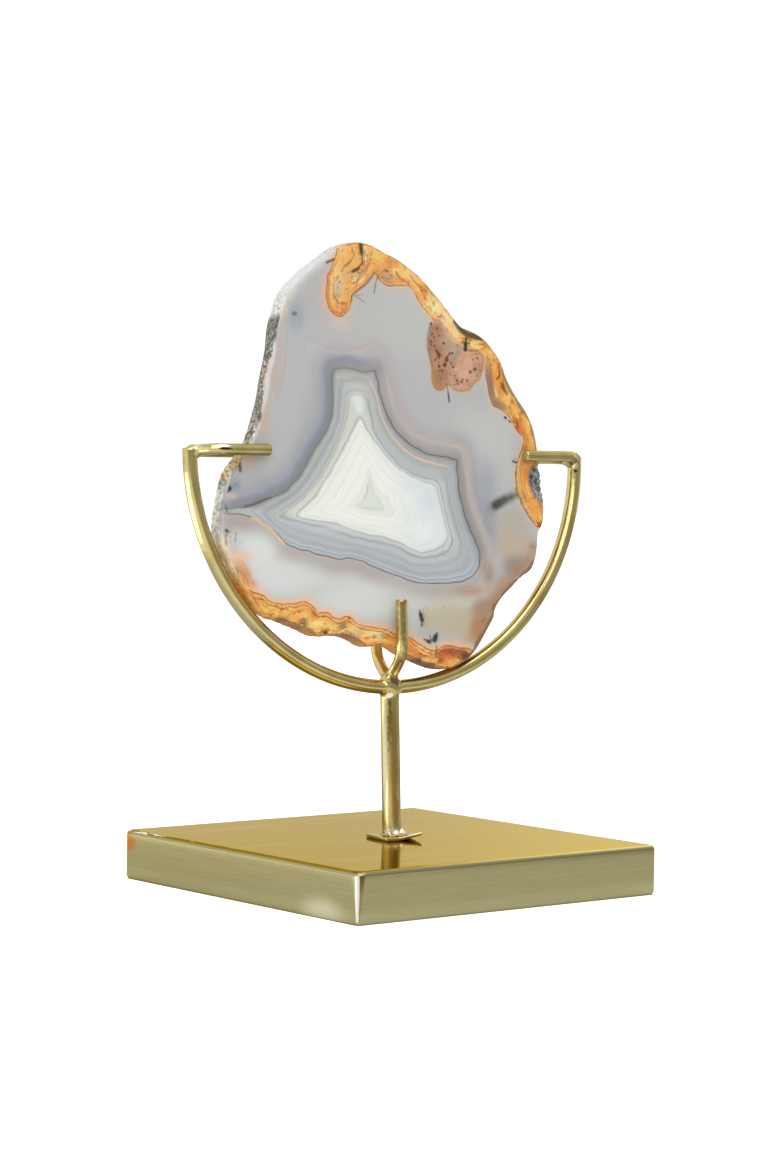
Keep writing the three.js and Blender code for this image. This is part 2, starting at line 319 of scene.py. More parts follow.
def base_brass():
    """Brushed and lacquered brass: warm gold on top, and on the sides a greener, duller gold that is a
    painted reflection.
    """
    s = Shader("base_brass")
    place, normal = s.place(), s.normal()
    x, y, z = s.parts(place)
    facing_x, _, facing_up = s.parts(normal)
    side = s.step(facing_up, 0.95, 0.5)
    streaks = s.noise(s.vector("MULTIPLY", place, (45.0, 45.0, 4200.0)), 1.0, detail=4, rough=0.6)
    top = s.mix(s.step(s.noise(place, 24.0, detail=3), 0.3, 0.7), srgb(190, 161, 84), srgb(178, 150, 74))
    # Painted light: the top is painted paler towards its right corner.
    top = s.over(top, (255, 236, 172), s.step(s.minus(x, y), -0.02, 0.12), 0.95)
    brushed = s.stretched(place, (16.0, 150.0, 1.0), 4)
    top = s.over(top, (244, 218, 146), s.step(brushed, 0.45, 0.7), 0.3)
    # The sides' greener, greyer gold is a painted reflection of the greyer room they face; the streaks along
    # them are brushing.
    edge = s.mix(s.step(streaks, 0.3, 0.7), srgb(172, 165, 123), srgb(162, 154, 111))
    # Painted reflection of the floor: the sides are painted paler towards the bottom.
    edge = s.over(edge, (206, 199, 160), s.step(z, 0.0065, 0.0), 0.45)
    # A pale spot low on the left side: a painted reflection.
    glow = s.vector("DISTANCE", s.vector("MULTIPLY", place, (1.0, 1.0, 2.2)), (-0.0635, -0.046, 0.004))
    edge = s.over(edge, (240, 234, 206), s.step(glow, 0.016, 0.002), 0.6)
    # The front corner's fold: a painted highlight strip on its left, and brown painted shade on its right
    highlight_facing = s.vector("DOT_PRODUCT", normal, (-0.80, -0.60, 0.0))
    other = s.vector("DOT_PRODUCT", normal, (-0.50, -0.87, 0.0))
    fold_high = s.step(z, 0.008, 0.0145)
    edge = s.over(edge, (122, 92, 42), s.step(other, 0.955, 0.985), s.fit(fold_high, 0.65, 0.2))
    edge = s.over(edge, (255, 253, 240), s.step(s.fit(fold_high, -0.012, highlight_facing), 0.955, 0.972))
    # A copper stain high on the left corner
    stain = s.vector("DISTANCE", place, (-0.0635, 0.0607, 0.0126))
    stain = s.fit(s.noise(place, 500.0, detail=3), 0.004, stain)
    edge = s.over(edge, (196, 122, 56), s.step(stain, 0.0066, 0.0034), 0.85)
    # The left top edge is painted dark as a painted reflection on its rounding, and scratches near the left
    # corner are painted bright as glints
    round_edge = s.times(s.step(facing_up, 0.99, 0.93), s.step(facing_up, 0.5, 0.7))
    round_edge = s.times(round_edge, s.step(facing_x, -0.1, -0.25))
    whole = s.over(s.mix(side, top, edge), (134, 106, 52), round_edge, 0.8)
    scratch_glints = s.stretched(place, (900.0, 170.0, 900.0), 1)
    scratch_glints = s.times(s.step(scratch_glints, 0.52, 0.56), s.step(y, 0.022, 0.032))
    s.principled(**{
        "Base Color": s.over(whole, (255, 252, 236), scratch_glints, round_edge),
        "Metallic": 1.0,
        "Roughness": s.fit(side, 0.12, s.fit(streaks, 0.08, 0.04)),
        "Specular Tint": (0.68, 0.55, 0.195),
    })
    return s.material


# Solder and heat stains on the rods, with a few painted highlights, painted reflections and painted shade:
# centre in the holder's frame, reach, colour, strength, speckle
ROD_STAINS_AND_PAINTED_LIGHT = [
    ((POST_X, -2.4, -126.4), (5.5, 5, 1.3), (250, 246, 226), 0.8, 2.0),
    ((POST_X - 0.5, -3.1, -119.5), (1.5, 1.8, 6.0), (182, 132, 70), 0.75, 1.2),
    ((POST_X - 1.9, -2.5, -90.0), (0.8, 1.2, 10.0), (104, 80, 38), 0.75, 2.6),
    ((POST_X - 0.9, -3.0, -102.0), (1.5, 1.6, 24.0), (184, 152, 84), 0.85, 0.5),
    # A grey-green strip down the post's left side: a painted reflection
    ((POST_X - 3.1, -0.8, -102.0), (0.9, 1.6, 26.0), (150, 140, 112), 1.0, 0.3),
    ((POST_X - 1.8, -2.6, -80.8), (1.5, 1.6, 1.0), (250, 246, 224), 0.9, 1.0),
    ((POST_X, -3.0, -75.4), (2.6, 3, 2.0), (128, 92, 50), 0.8, 2.2),
    ((POST_X, -3.6, -72.8), (1.4, 3, 1.4), (246, 240, 214), 0.6, 2.0),
    ((POST_X, -7.8, -49.2), (2.4, 3, 1.9), (206, 138, 84), 0.85, 0.8),
    ((POST_X, -6.6, -68.5), (2.8, 3.4, 5.0), (132, 108, 64), 0.75, 1.6),
    ((POST_X + 1.4, 5.6, -67.5), (1.5, 3.4, 6.0), (112, 86, 48), 0.8, 1.2),
    ((POST_X - 1.0, -9.2, -57.0), (1.6, 2, 10.0), (164, 140, 84), 0.55, 3.2),
    # A dark band round the foot plate's edges: painted shade
    ((POST_X, 1.0, -127.75), (12.0, 12.0, 0.32), (104, 78, 40), 0.85, 0.4),
    ((POST_X, 0.5, -127.1), (12.0, 12.0, 0.5), (178, 150, 88), 0.6, 0.8),
    # A white spot on the left clip's joint: a painted highlight
    ((-ARC_RADIUS + 2.0, -2.2, 1.2), (1.8, 2.4, 1.0), (250, 244, 214), 0.6, 0.6),
    # A dark slit on the left clip's front prong, a painted dark reflection, and a painted highlight along its
    # top
    ((-ARC_RADIUS + 8.2, -8.5, 0.5), (3.2, 1.2, 0.42), (44, 32, 14), 0.95, 0.2),
    ((-ARC_RADIUS + 7.4, -8.3, 1.4), (3.4, 1.2, 0.4), (255, 253, 240), 0.8, 0.3),
    ((ARC_RADIUS - 1.3, -2.2, -3.0), (1.3, 1.3, 1.4), (252, 248, 232), 0.85, 0.5),
    # A pinhole in the right clip's solder, drawn as a dark spot: painted shade in the hole
    ((ARC_RADIUS - 1.3, -2.2, -4.9), (0.7, 1.0, 0.65), (52, 42, 18), 0.9, 0.3),
]


def rod_brass():
    """Drawn brass rod with faint scratches, solder and heat stains at the joints, painted shade on the
    undersides, and a few painted highlights, reflections and shade.
    """
    s = Shader("rod_brass")
    place = s.place()
    fine = s.noise(place, 700.0, detail=3)
    cloud = s.step(s.noise(place, 90.0, detail=3), 0.35, 0.7)
    colour = s.mix(cloud, srgb(220, 202, 142), srgb(200, 180, 114))
    # Painted shade: the undersides are painted a darker, greyer brass.
    colour = s.over(colour, (150, 144, 112), s.step(s.parts(s.normal())[2], -0.2, -0.5), 0.7)
    for centre, reach, tone, strength, speckle in ROD_STAINS_AND_PAINTED_LIGHT:
        offset = s.vector("SUBTRACT", place, tuple(from_holder(centre) * MM))
        away = s.vector("LENGTH", s.vector("MULTIPLY", offset, tuple(1 / (r * MM) for r in reach)))
        away = s.fit(s.minus(fine, 0.5), speckle, away)
        colour = s.over(colour, tone, s.step(away, 1.15, 0.6), strength)
    s.principled(**{
        "Base Color": colour,
        "Metallic": 1.0,
        "Roughness": s.fit(fine, 0.12, 0.08),
        "Specular Tint": (0.66, 0.62, 0.46),
    })
    return s.material


# The base's edge radius, the taper below, and its corner radii. The front corner's fold opens upwards,
# and the corners tighten as the top edge rounds inwards.
EDGE_ROUND, EDGE_STEPS, TIGHTENING = 1.6, 10, 0.6
TAPER, TAPER_HEIGHT, SIDE_STEPS = 0.4, 1.2, 8
FOLD_LOW, FOLD_HIGH, CORNER_ROUND, CORNER_STEPS = 1.2, 3.6, 1.7, 14


def base_block():
    """The square base as a fine closed loft, with round top edges and corners."""
    low, high = (np.array(p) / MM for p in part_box("base"))
    half = (high[0] - low[0]) / 2
    shoulder = high[2] - EDGE_ROUND

    def ring(half_side, inset, z):
        points = []
        for corner in range(4):
            full = FOLD_LOW + (FOLD_HIGH - FOLD_LOW) * min(z / shoulder, 1) if corner == 2 else CORNER_ROUND
            radius = full - inset * TIGHTENING
            cx = (half_side - radius) * (1 if corner in (0, 3) else -1)
            cy = (half_side - radius) * (1 if corner in (0, 1) else -1)
            for a in math.pi / 2 * (corner + np.arange(CORNER_STEPS + 1) / CORNER_STEPS):
                points.append((cx + radius * math.cos(a), cy + radius * math.sin(a), z))
        return points

    rings = [ring(half - TAPER, 0.0, 0.0)]
    rings += [ring(half, 0.0, z) for z in np.linspace(TAPER_HEIGHT, shoulder, SIDE_STEPS)]
    for i in range(1, EDGE_STEPS + 1):
        a = math.pi / 2 * i / EDGE_STEPS
        inset = EDGE_ROUND * (1 - math.cos(a))
        rings.append(ring(half - inset, inset, shoulder + EDGE_ROUND * math.sin(a)))
    rows = np.arange(sum(len(r) for r in rings)).reshape(len(rings), -1)
    faces = [f for near, far in zip(rows[:-1], rows[1:]) for f in strip_faces(near, far)[:, FLIPPED]]
    faces += [rows[0][::-1], rows[-1]]
    piece = make_piece("base_block", np.vstack(rings), faces, [base_brass()], ["base"])
    for flat_face in (len(faces) - 2, len(faces) - 1):
        piece.data.polygons[flat_face].use_smooth = False


# Holder


def away_from(points, line, closed=False):
    """Distance from each point to a line of straight stretches."""
    best = np.full(len(points), np.inf)
    for a, b in zip(line, np.roll(line, -1, axis=0) if closed else line[1:]):
        along, offset = b - a, points - a
        t = np.clip(offset @ along / max(along @ along, 1e-12), 0, 1)
        best = np.minimum(best, ((offset - t[:, None] * along) ** 2).sum(1))
    return np.sqrt(best)


def curve_through(points, steps=8):
    """A Catmull-Rom curve through points."""
    p = np.array(points, float)
    p = np.vstack([2 * p[0] - p[1], p, 2 * p[-1] - p[-2]])
    made = []
    for a, b, c, d in zip(p[:-3], p[1:-2], p[2:-1], p[3:]):
        for t in np.linspace(0, 1, steps, endpoint=False):
            bend = (2 * a - 5 * b + 4 * c - d) * t**2 + (3 * b - a - 3 * c + d) * t**3
            made.append(0.5 * (2 * b + (c - a) * t + bend))
    return np.array(made + [p[-2]])


# The prongs' lines: how far in from the arc, and how far out from the stone's middle plane
CLIP_PRONG = [(1.2, 0.6), (2.6, 1.8), (3.9, 3.5), (5.8, 5.7), (9.2, 6.95), (20.0, 7.0)]
CLIP_DROP = [1, 0.65, 0.28, 0, 0, 0]
CLIP_SINK = {-1: 0.25, 1: 0.8}
CLIP_LENGTH = {-1: 25.9, 1: 27.0}
FORK_FRONT = [
    (0.4, 0.5), (2.4, 0.6), (4.1, 1.6), (6.1, 3.5), (8.1, 5.4), (10.1, 6.7), (12.3, 7.4), (14.8, 7.75),
    (18, 7.85), (29.3, 7.85),
]
FORK_BACK = [
    (0.4, 0.5), (2.4, 0.9), (4.1, 2.1), (6.1, 4.0), (8.1, 5.7), (10.3, 6.9), (12.7, 7.4), (15.1, 7.5),
    (29.3, 7.5),
]


def holder_rods():
    """Each rod as (centre line, radius)."""
    angles = np.linspace(TAU, math.pi - ARC_EXTRA / ARC_RADIUS, ARC_STEPS + 1)
    arc = ARC_RADIUS * np.stack([np.cos(angles), np.zeros(len(angles)), np.sin(angles)], 1)
    post = np.array([(POST_X, 0, -ARC_RADIUS), (POST_X, 0, POST_FOOT)])
    rods = [(arc, ARC_ROD / 2), (post, POST_ROD / 2)]
    for side in (-1, 1):
        for face in (-1, 1):
            line = [
                (side * (ARC_RADIUS - inward), face * out, CLIP_LINE[side] - CLIP_SINK[side] * drop)
                for (inward, out), drop in zip(CLIP_PRONG, CLIP_DROP)
            ]
            line.append((side * (ARC_RADIUS - CLIP_LENGTH[side]), face * CLIP_PRONG[-1][1], CLIP_LINE[side]))
            rods.append((curve_through(line), TINE_ROD / 2))
    for face, shape in ((-1, FORK_FRONT), (1, FORK_BACK)):
        line = [(POST_X, face * out, inward - ARC_RADIUS) for inward, out in shape]
        rods.append((curve_through(line), TINE_ROD / 2))
    return rods


# Lumps of solder: centre and half widths, in the holder's frame
SOLDER = [
    ((POST_X, 0, -77.8), (3.9, 3.6, 4.3)),
    ((POST_X - 0.8, -1.2, -75.2), (2.4, 2.2, 2.2)),
    ((-ARC_RADIUS + 2.4, 0, -0.3), (2.1, 2.3, 1.8)),
    ((ARC_RADIUS - 2.2, 0, -1.6), (1.9, 2.3, 1.9)),
]
FILLET, ROUND_END = 0.9, 0.35
FAR_OFF = 1000.0


def holder_distance(points, rods):
    """Signed distance to the soldered rods, with a smooth fillet wherever two of them meet."""
    total = np.full(len(points), FAR_OFF)

    def join(near, value):
        h = np.clip(0.5 + 0.5 * (total[near] - value) / FILLET, 0, 1)
        total[near] = total[near] * (1 - h) + value * h - FILLET * h * (1 - h)

    for line, radius in rods:
        reach = radius + 4 * FILLET
        near = np.flatnonzero(np.all((points > line.min(0) - reach) & (points < line.max(0) + reach), axis=1))
        if len(near) == 0:
            continue
        away = away_from(points[near], line)
        last = line[-1] - line[-2]
        beyond = (points[near] - line[-1]) @ (last / np.linalg.norm(last))
        # The free end is cut off flat, with its edge worn round
        radial, flat = away - radius + ROUND_END, beyond + ROUND_END
        end = np.hypot(np.maximum(radial, 0), np.maximum(flat, 0)) + np.minimum(np.maximum(radial, flat), 0)
        join(near, np.where(beyond > -2 * radius, end - ROUND_END, away - radius))
    for centre, half in SOLDER:
        scaled = (points - centre) / half
        size = np.linalg.norm(scaled, axis=1)
        value = size * (size - 1) / (np.linalg.norm(scaled / half, axis=1) + 1e-9)
        near = np.flatnonzero(value < 4 * FILLET)
        join(near, value[near])
    return total


def tube_mesh(bm, line, radius, sides=20):
    """A closed rough tube, from which the fine surface is made."""
    rings = []
    for k, p in enumerate(line):
        along = line[min(k + 1, len(line) - 1)] - line[max(k - 1, 0)]
        along = along / np.linalg.norm(along)
        across = np.cross(along, (0.0, 1.0, 0.0) if abs(along[1]) < 0.9 else (1.0, 0.0, 0.0))
        across /= np.linalg.norm(across)
        other = np.cross(along, across)
        rings.append([
            bm.verts.new(p + radius * (math.cos(a) * across + math.sin(a) * other))
            for a in np.linspace(0, TAU, sides, endpoint=False)
        ])
    for low, high in zip(rings[:-1], rings[1:]):
        for i in range(sides):
            j = (i + 1) % sides
            bm.faces.new((low[i], low[j], high[j], high[i]))
    bm.faces.new(rings[0][::-1])
    bm.faces.new(rings[-1])


# The voxels of the rough skin, how often it is drawn onto the exact surface, how far each time, and
# the short step and least value for the distance's slope
VOXEL, DRAWS, FARTHEST = 0.4, 3, 0.6
PROBE, LEAST_SLOPE = 0.02, 0.5


def rough_skin(rods):
    """One rough closed skin over the rods and the solder."""
    bm = bmesh.new()
    for line, radius in rods:
        tube_mesh(bm, line, radius)
    for centre, half in SOLDER:
        made = bmesh.ops.create_uvsphere(bm, u_segments=24, v_segments=16, radius=1.0)
        for v in made["verts"]:
            v.co = [c + h * x for c, h, x in zip(centre, half, v.co)]
    bmesh.ops.recalc_face_normals(bm, faces=bm.faces)
    rough = bpy.data.meshes.new("rough")
    bm.to_mesh(rough)
    bm.free()
    scratch = add_object("rough", rough)
    remesh = scratch.modifiers.new("remesh", "REMESH")
    remesh.mode = "VOXEL"
    remesh.voxel_size = VOXEL
    skin = bpy.data.meshes.new_from_object(scratch.evaluated_get(bpy.context.evaluated_depsgraph_get()))
    bpy.data.objects.remove(scratch)
    return skin


def brass_holder():
    """The arc, prongs and post as one soldered piece: a rough skin drawn onto the rods' exact surface."""
    rods = holder_rods()
    skin = rough_skin(rods)
    points = coordinates(skin)
    for _ in range(DRAWS):
        value = holder_distance(points, rods)
        slope = np.stack([
            holder_distance(points + PROBE * axis, rods) - holder_distance(points - PROBE * axis, rods)
            for axis in np.eye(3)
        ], axis=1) / (2 * PROBE)
        draw = np.clip(value, -FARTHEST, FARTHEST) / np.maximum((slope**2).sum(1), LEAST_SLOPE**2)
        points -= draw[:, None] * slope
    tines = [f"{place}_{face}_tine" for place in ("left", "right", "fork") for face in ("front", "back")]
    faces = [list(p.vertices) for p in skin.polygons]
    make_piece("holder", from_holder(points), faces, [rod_brass()], ["post", "arc", *tines])


# The foot plate: its size, place and turn, one corner's curl, and the ring of solder round the post
PLATE_SIDE, PLATE_THICK, PLATE_WORN, PLATE_GRID = 13.8, 1.0, 0.02, 56
PLATE_AT, PLATE_TURN = (-1.05, -4.17), -9.25
CURL, CURL_FROM, CURL_BEND = 1.5, 2.5, 1.4
RING_AT, RING_FROM, RING_REACH, RING_HIGH, RING_BEND, RING_LUMPS = (1.0, 1.8), 2.8, 3.0, 2.1, 2.2, 0.25


def foot_plate():
    """The small plate that spreads the post on the base."""
    half, diagonal = PLATE_SIDE / 2, PLATE_SIDE / math.sqrt(2)
    x, y = (a.ravel() for a in np.meshgrid(*[np.linspace(-half, half, PLATE_GRID)] * 2, indexing="ij"))
    worn = 1.0 - PLATE_WORN * np.abs(x * y) / half**2
    x, y = x * worn, y * worn
    past = ((x - y) / math.sqrt(2) - CURL_FROM) / (diagonal - CURL_FROM)
    lift = CURL * np.maximum(0, past) ** CURL_BEND
    away = np.hypot(x - RING_AT[0], y - RING_AT[1])
    rise = RING_HIGH * np.clip(1 - (away - RING_FROM) / RING_REACH, 0, 1) ** RING_BEND
    top = PLATE_THICK + lift + rise * (1 + RING_LUMPS * ripple(np.stack([x, y], 1), 2.2, 41))
    points = np.stack([np.tile(x, 2), np.tile(y, 2), np.concatenate([lift, top])], 1)
    turn = np.array(Matrix.Rotation(math.radians(PLATE_TURN), 3, "Z"))
    points = points @ turn.T + (*PLATE_AT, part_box("foot_plate")[0][2] / MM)
    under, edge = grid_faces(np.arange(PLATE_GRID**2).reshape(PLATE_GRID, -1))
    faces = [under[:, FLIPPED], under + len(x), strip_faces(edge + len(x), edge)]
    make_piece("foot_plate_sheet", points, np.vstack(faces), [rod_brass()], ["foot_plate"])


# Agate: the lines that its bands follow, as (x, z) on the front face

# Each side of the dark outline round the banded middle, clockwise from its upper left corner
DARK_TOP = [(-25.5, 27.2), (-23, 27.9), (-20, 28), (-17.5, 27.8), (-15.5, 27), (-12.5, 26.9), (-8.5, 27.6)]
DARK_UPPER = [
    (-8.5, 27.6), (-8, 25), (-7.5, 22), (-6.5, 18.5), (-5.2, 15), (-3.5, 11.5), (-2, 9.5), (1, 6),
    (4.5, 3.5), (8, 1.5), (12, 0.2), (16, -0.5), (20, -0.9), (24.1, -1.8),
]
DARK_RIGHT = [
    (24.1, -1.8), (24.2, -4.5), (24.5, -8), (24.8, -11), (25.2, -14.5), (26.5, -18.5), (27.8, -22),
    (29.2, -25.2), (31, -28.8), (32.5, -31.5), (33.2, -34), (33.4, -37),
]
DARK_BOTTOM = [
    (33.4, -37), (33, -38.2), (31.5, -39.8), (30, -41.5), (27, -42.8), (24, -43.2), (20, -43.6), (15, -43.6),
    (11, -43.5), (6.5, -43.2), (0, -41.2), (-5, -39.8), (-10, -38), (-13, -36.8), (-16, -35.4), (-20, -34.8),
    (-25.5, -35), (-28, -34.6), (-31, -33.8), (-36.5, -32.5), (-39.5, -32), (-42, -31.2), (-44, -30.5),
    (-45.2, -29.5), (-46.5, -28.2), (-48.2, -26.8), (-50, -25.2), (-53, -23.4), (-56, -22), (-60, -20.7),
    (-64, -20.3), (-71, -20.2),
]
DARK_LEFT = [
    (-71, -20.2), (-71, -18.8), (-66, -18.6), (-60, -18.2), (-56, -17.2), (-53, -16.2), (-50, -15),
    (-47, -14), (-44, -12.5), (-41.5, -10.5), (-39, -8), (-37, -5), (-35, -2), (-33, 1), (-31, 3.5),
    (-29, 6), (-27.5, 8.5), (-26.2, 11.5), (-25.8, 15), (-25.5, 19), (-25.8, 23), (-25.5, 27.2),
]
SIDES = [DARK_TOP, DARK_UPPER, DARK_RIGHT, DARK_BOTTOM, DARK_LEFT]

# The double line inside it: its outer and inner line, and the small core
DOUBLE_OUTER = [
    (-19.5, 19.5), (-12, 19.5), (-11, 15), (-10.2, 10), (-8.8, 6), (-7, 3), (-3, -1), (1, -4.5), (6, -7),
    (11, -8.2), (17, -9), (18, -14.5), (19.5, -21), (21.2, -27), (22.5, -30), (19.5, -33.5), (14, -34.6),
    (10, -35), (5.5, -34.5), (2, -32.5), (-2.5, -30.8), (-10, -29.5), (-18, -28.2), (-24, -26.6), (-29, -25),
    (-34, -24.2), (-39, -22.9), (-44, -22.1), (-48.5, -21.3), (-44, -18.9), (-40, -16.6), (-36, -13.3),
    (-32, -9.5), (-28.5, -5), (-25.5, 0), (-22.8, 5), (-20.8, 10), (-20, 15),
]
DOUBLE_INNER = [
    (-15, 12.6), (-12.8, 8), (-10, 5), (-7.5, 2.5), (-5, -0.5), (-2, -3), (1.5, -5.5), (5.5, -7.5),
    (10, -9.2), (15.5, -10.5), (16.5, -14.5), (18, -20), (20, -26), (20, -28.5), (17.2, -31.2), (12, -33),
    (7, -33), (3.5, -31.2), (0, -29.5), (-5, -28), (-10, -27.4), (-16, -26.2), (-20, -25.2), (-23, -24),
    (-26, -23), (-29.5, -22.8), (-33.5, -22.2), (-38, -21.7), (-41.5, -20.8), (-37.5, -18), (-33.5, -15),
    (-31, -11), (-28.5, -8), (-26, -4.5), (-23.5, -1), (-21, 3), (-18.5, 7), (-16.5, 10),
]
CORE = [
    (-11.5, -8), (-11.2, -8.4), (-10.5, -12), (-9.6, -14.6), (-8.4, -16.4), (-6.8, -17.5), (-6.8, -17.9),
    (-8.6, -18.7), (-12.6, -18.8), (-14.6, -18.2), (-16.4, -17.2), (-16.4, -16.9), (-14.2, -16.1),
    (-12.8, -14.4), (-12.1, -12), (-11.7, -8.4),
]
CORE_MIDDLE = np.array((-11.2, -15.8))

# The soft pale line outside the dark outline
HALO = [
    (-38, 39), (-29, 35), (-20, 33.6), (-13.5, 35.4), (-9.5, 37.5), (-5, 35.5), (-4, 30), (-1.5, 19),
    (0, 14), (4, 9), (10, 6), (16, 4.8), (22, 4), (25, 3.8), (27, 2.5), (28, 0), (29.5, -8), (30.5, -16),
    (33.5, -24), (36.5, -29), (38, -33), (38, -38), (35, -43), (30, -47), (22.5, -48), (15, -48), (6.5, -47),
    (0, -46.5), (-10, -43), (-20, -39.5), (-30, -38), (-40, -36.5), (-48, -33.5), (-53, -29), (-60, -25.5),
    (-70, -24), (-70, -12), (-62, -12), (-52, -9), (-45, -4.5), (-41, 1), (-37, 8), (-34.5, 16), (-34, 26),
]

# Inner edges of the amber along the rim. Each closes outside the stone.
AMBER_TOP = [
    (-23, 72), (-23.6, 66), (-24, 63.8), (-25.4, 62), (-26.6, 60), (-27.4, 57), (-27.8, 53.5), (-27.7, 50.4),
    (-27, 47.8), (-25.6, 45.9), (-23.6, 44.9), (-21.4, 44.9), (-19.6, 45.9), (-18.2, 47.8), (-17.5, 50.2),
    (-17.4, 52.6), (-15, 54), (-12, 56), (-9.5, 58.5), (-8, 60.2), (-7, 58), (-5, 56.5), (-2.5, 55.5),
    (0.5, 56.2), (4.5, 56.4), (6, 55.8), (8, 53.5), (10, 51), (12, 48.8), (13.5, 46.5), (15.5, 44.8),
    (18, 44.5), (20.5, 42), (22.2, 39), (24.5, 37), (27.5, 36), (31, 36.2), (34, 35.2), (36.2, 33.8),
    (36.5, 28.5), (37.2, 24), (38, 20.5), (39.2, 17.8), (40.5, 16.2), (43, 15.2), (45.5, 14.8), (47.5, 12),
    (49.2, 9), (51.5, 7), (53, 6.2), (52.5, 5), (51.5, 1.5), (50, -2), (49, -5), (48.6, -8), (48.9, -11),
    (49.8, -14), (51.5, -17), (53.5, -20), (56, -23), (58.5, -25), (70, -25), (70, 60), (20, 85), (-22, 85),
]
AMBER_LOW = [
    (-72, -43.6), (-66, -44), (-61.5, -44.6), (-58.5, -45), (-56, -45.8), (-53.5, -46.8), (-51.4, -48.6),
    (-48.5, -49.4), (-45.6, -49.9), (-44, -49), (-42.2, -49.6), (-40, -48.9), (-36.5, -48.9), (-34.2, -50.4),
    (-33, -52.8), (-31.4, -52.2), (-28.8, -52.6), (-26.6, -54.4), (-24.4, -55), (-22, -54), (-19.6, -54.6),
    (-17.6, -56), (-15.4, -57.2), (-13.8, -57.6), (-11, -57.5), (-7.5, -58), (-4.5, -59.2), (-2, -60.2),
    (3, -60.6), (6, -62.5), (9, -64.5), (11.5, -65.8), (14, -66.2), (17.5, -64.5), (22, -64.5), (25, -65.4),
    (28.4, -65.8), (31, -67.6), (34, -72), (34, -90), (-72, -90),
]
LOBES = [
    (15, 45.2), (13, 42), (12.2, 38.5), (12.8, 35), (14, 31), (14.2, 28), (14, 24.5), (15, 22.2),
    (17.2, 21.2), (19.5, 22.2), (21, 24), (23, 22.2), (26, 21.2), (29, 21.5), (31.5, 23.5), (34, 25.5),
    (35.5, 28), (36, 31), (36.2, 34), (33, 36), (27.5, 36.8), (24, 38), (21.5, 41.5), (18.5, 45),
]
POCKET = [
    (57.5, -2.5), (55.5, -4.5), (54.5, -7), (55, -10), (56.5, -13), (58.5, -15.5), (60.6, -17.5),
    (68, -17.5), (68, -2.5),
]

# Colours across the banded middle, from the inner line of the double line to the dark outline
BANDS = {
    "left": [
        (0, (185, 183, 165)), (0.04, (224, 227, 218)), (0.12, (229, 231, 224)), (0.19, (214, 215, 205)),
        (0.22, (188, 186, 170)), (0.26, (212, 214, 210)), (0.34, (180, 183, 178)), (0.42, (192, 198, 200)),
        (0.52, (192, 198, 203)), (0.60, (176, 179, 180)), (0.68, (168, 168, 164)), (0.77, (180, 183, 183)),
        (0.86, (186, 188, 187)), (0.92, (168, 168, 166)), (1.0, (148, 147, 145)),
    ],
    "upper": [
        (0, (178, 172, 158)), (0.04, (215, 220, 218)), (0.12, (222, 228, 228)), (0.18, (205, 207, 203)),
        (0.22, (165, 158, 148)), (0.27, (196, 202, 205)), (0.40, (192, 199, 202)), (0.50, (194, 199, 198)),
        (0.60, (180, 182, 180)), (0.68, (186, 180, 174)), (0.72, (210, 190, 178)), (0.745, (252, 216, 188)),
        (0.77, (208, 190, 180)), (0.80, (182, 173, 170)), (0.85, (180, 173, 172)), (0.90, (166, 163, 166)),
        (0.95, (144, 146, 152)), (1.0, (116, 120, 126)),
    ],
    "right": [
        (0, (165, 165, 158)), (0.04, (215, 222, 224)), (0.15, (220, 226, 228)), (0.20, (152, 156, 154)),
        (0.25, (206, 213, 215)), (0.38, (201, 207, 209)), (0.46, (182, 188, 188)), (0.52, (172, 178, 176)),
        (0.60, (188, 195, 198)), (0.70, (178, 184, 190)), (0.78, (184, 190, 197)), (0.86, (170, 176, 183)),
        (0.93, (160, 166, 173)), (1.0, (118, 122, 128)),
    ],
    "bottom": [
        (0, (170, 168, 152)), (0.03, (207, 214, 217)), (0.12, (215, 222, 226)), (0.17, (186, 191, 192)),
        (0.21, (171, 172, 168)), (0.25, (194, 200, 205)), (0.36, (201, 209, 215)), (0.42, (186, 191, 195)),
        (0.50, (181, 186, 190)), (0.58, (191, 198, 205)), (0.66, (183, 187, 191)), (0.74, (173, 177, 181)),
        (0.80, (186, 194, 204)), (0.85, (197, 207, 219)), (0.885, (150, 153, 158)), (0.91, (188, 197, 210)),
        (0.97, (176, 183, 193)), (1.0, (108, 108, 113)),
    ],
}
HEART = [
    (0, (230, 236, 227)), (0.03, (224, 231, 220)), (0.06, (238, 241, 230)), (0.14, (246, 248, 238)),
    (0.17, (234, 237, 224)), (0.20, (248, 250, 241)), (0.36, (252, 253, 246)), (0.40, (242, 245, 233)),
    (0.44, (251, 253, 246)), (0.60, (251, 253, 247)), (0.63, (241, 243, 233)), (0.67, (250, 252, 247)),
    (0.80, (246, 249, 244)), (0.86, (237, 239, 230)), (0.90, (246, 248, 242)), (0.97, (236, 237, 228)),
    (0.988, (210, 207, 194)), (1.0, (192, 188, 172)),
]

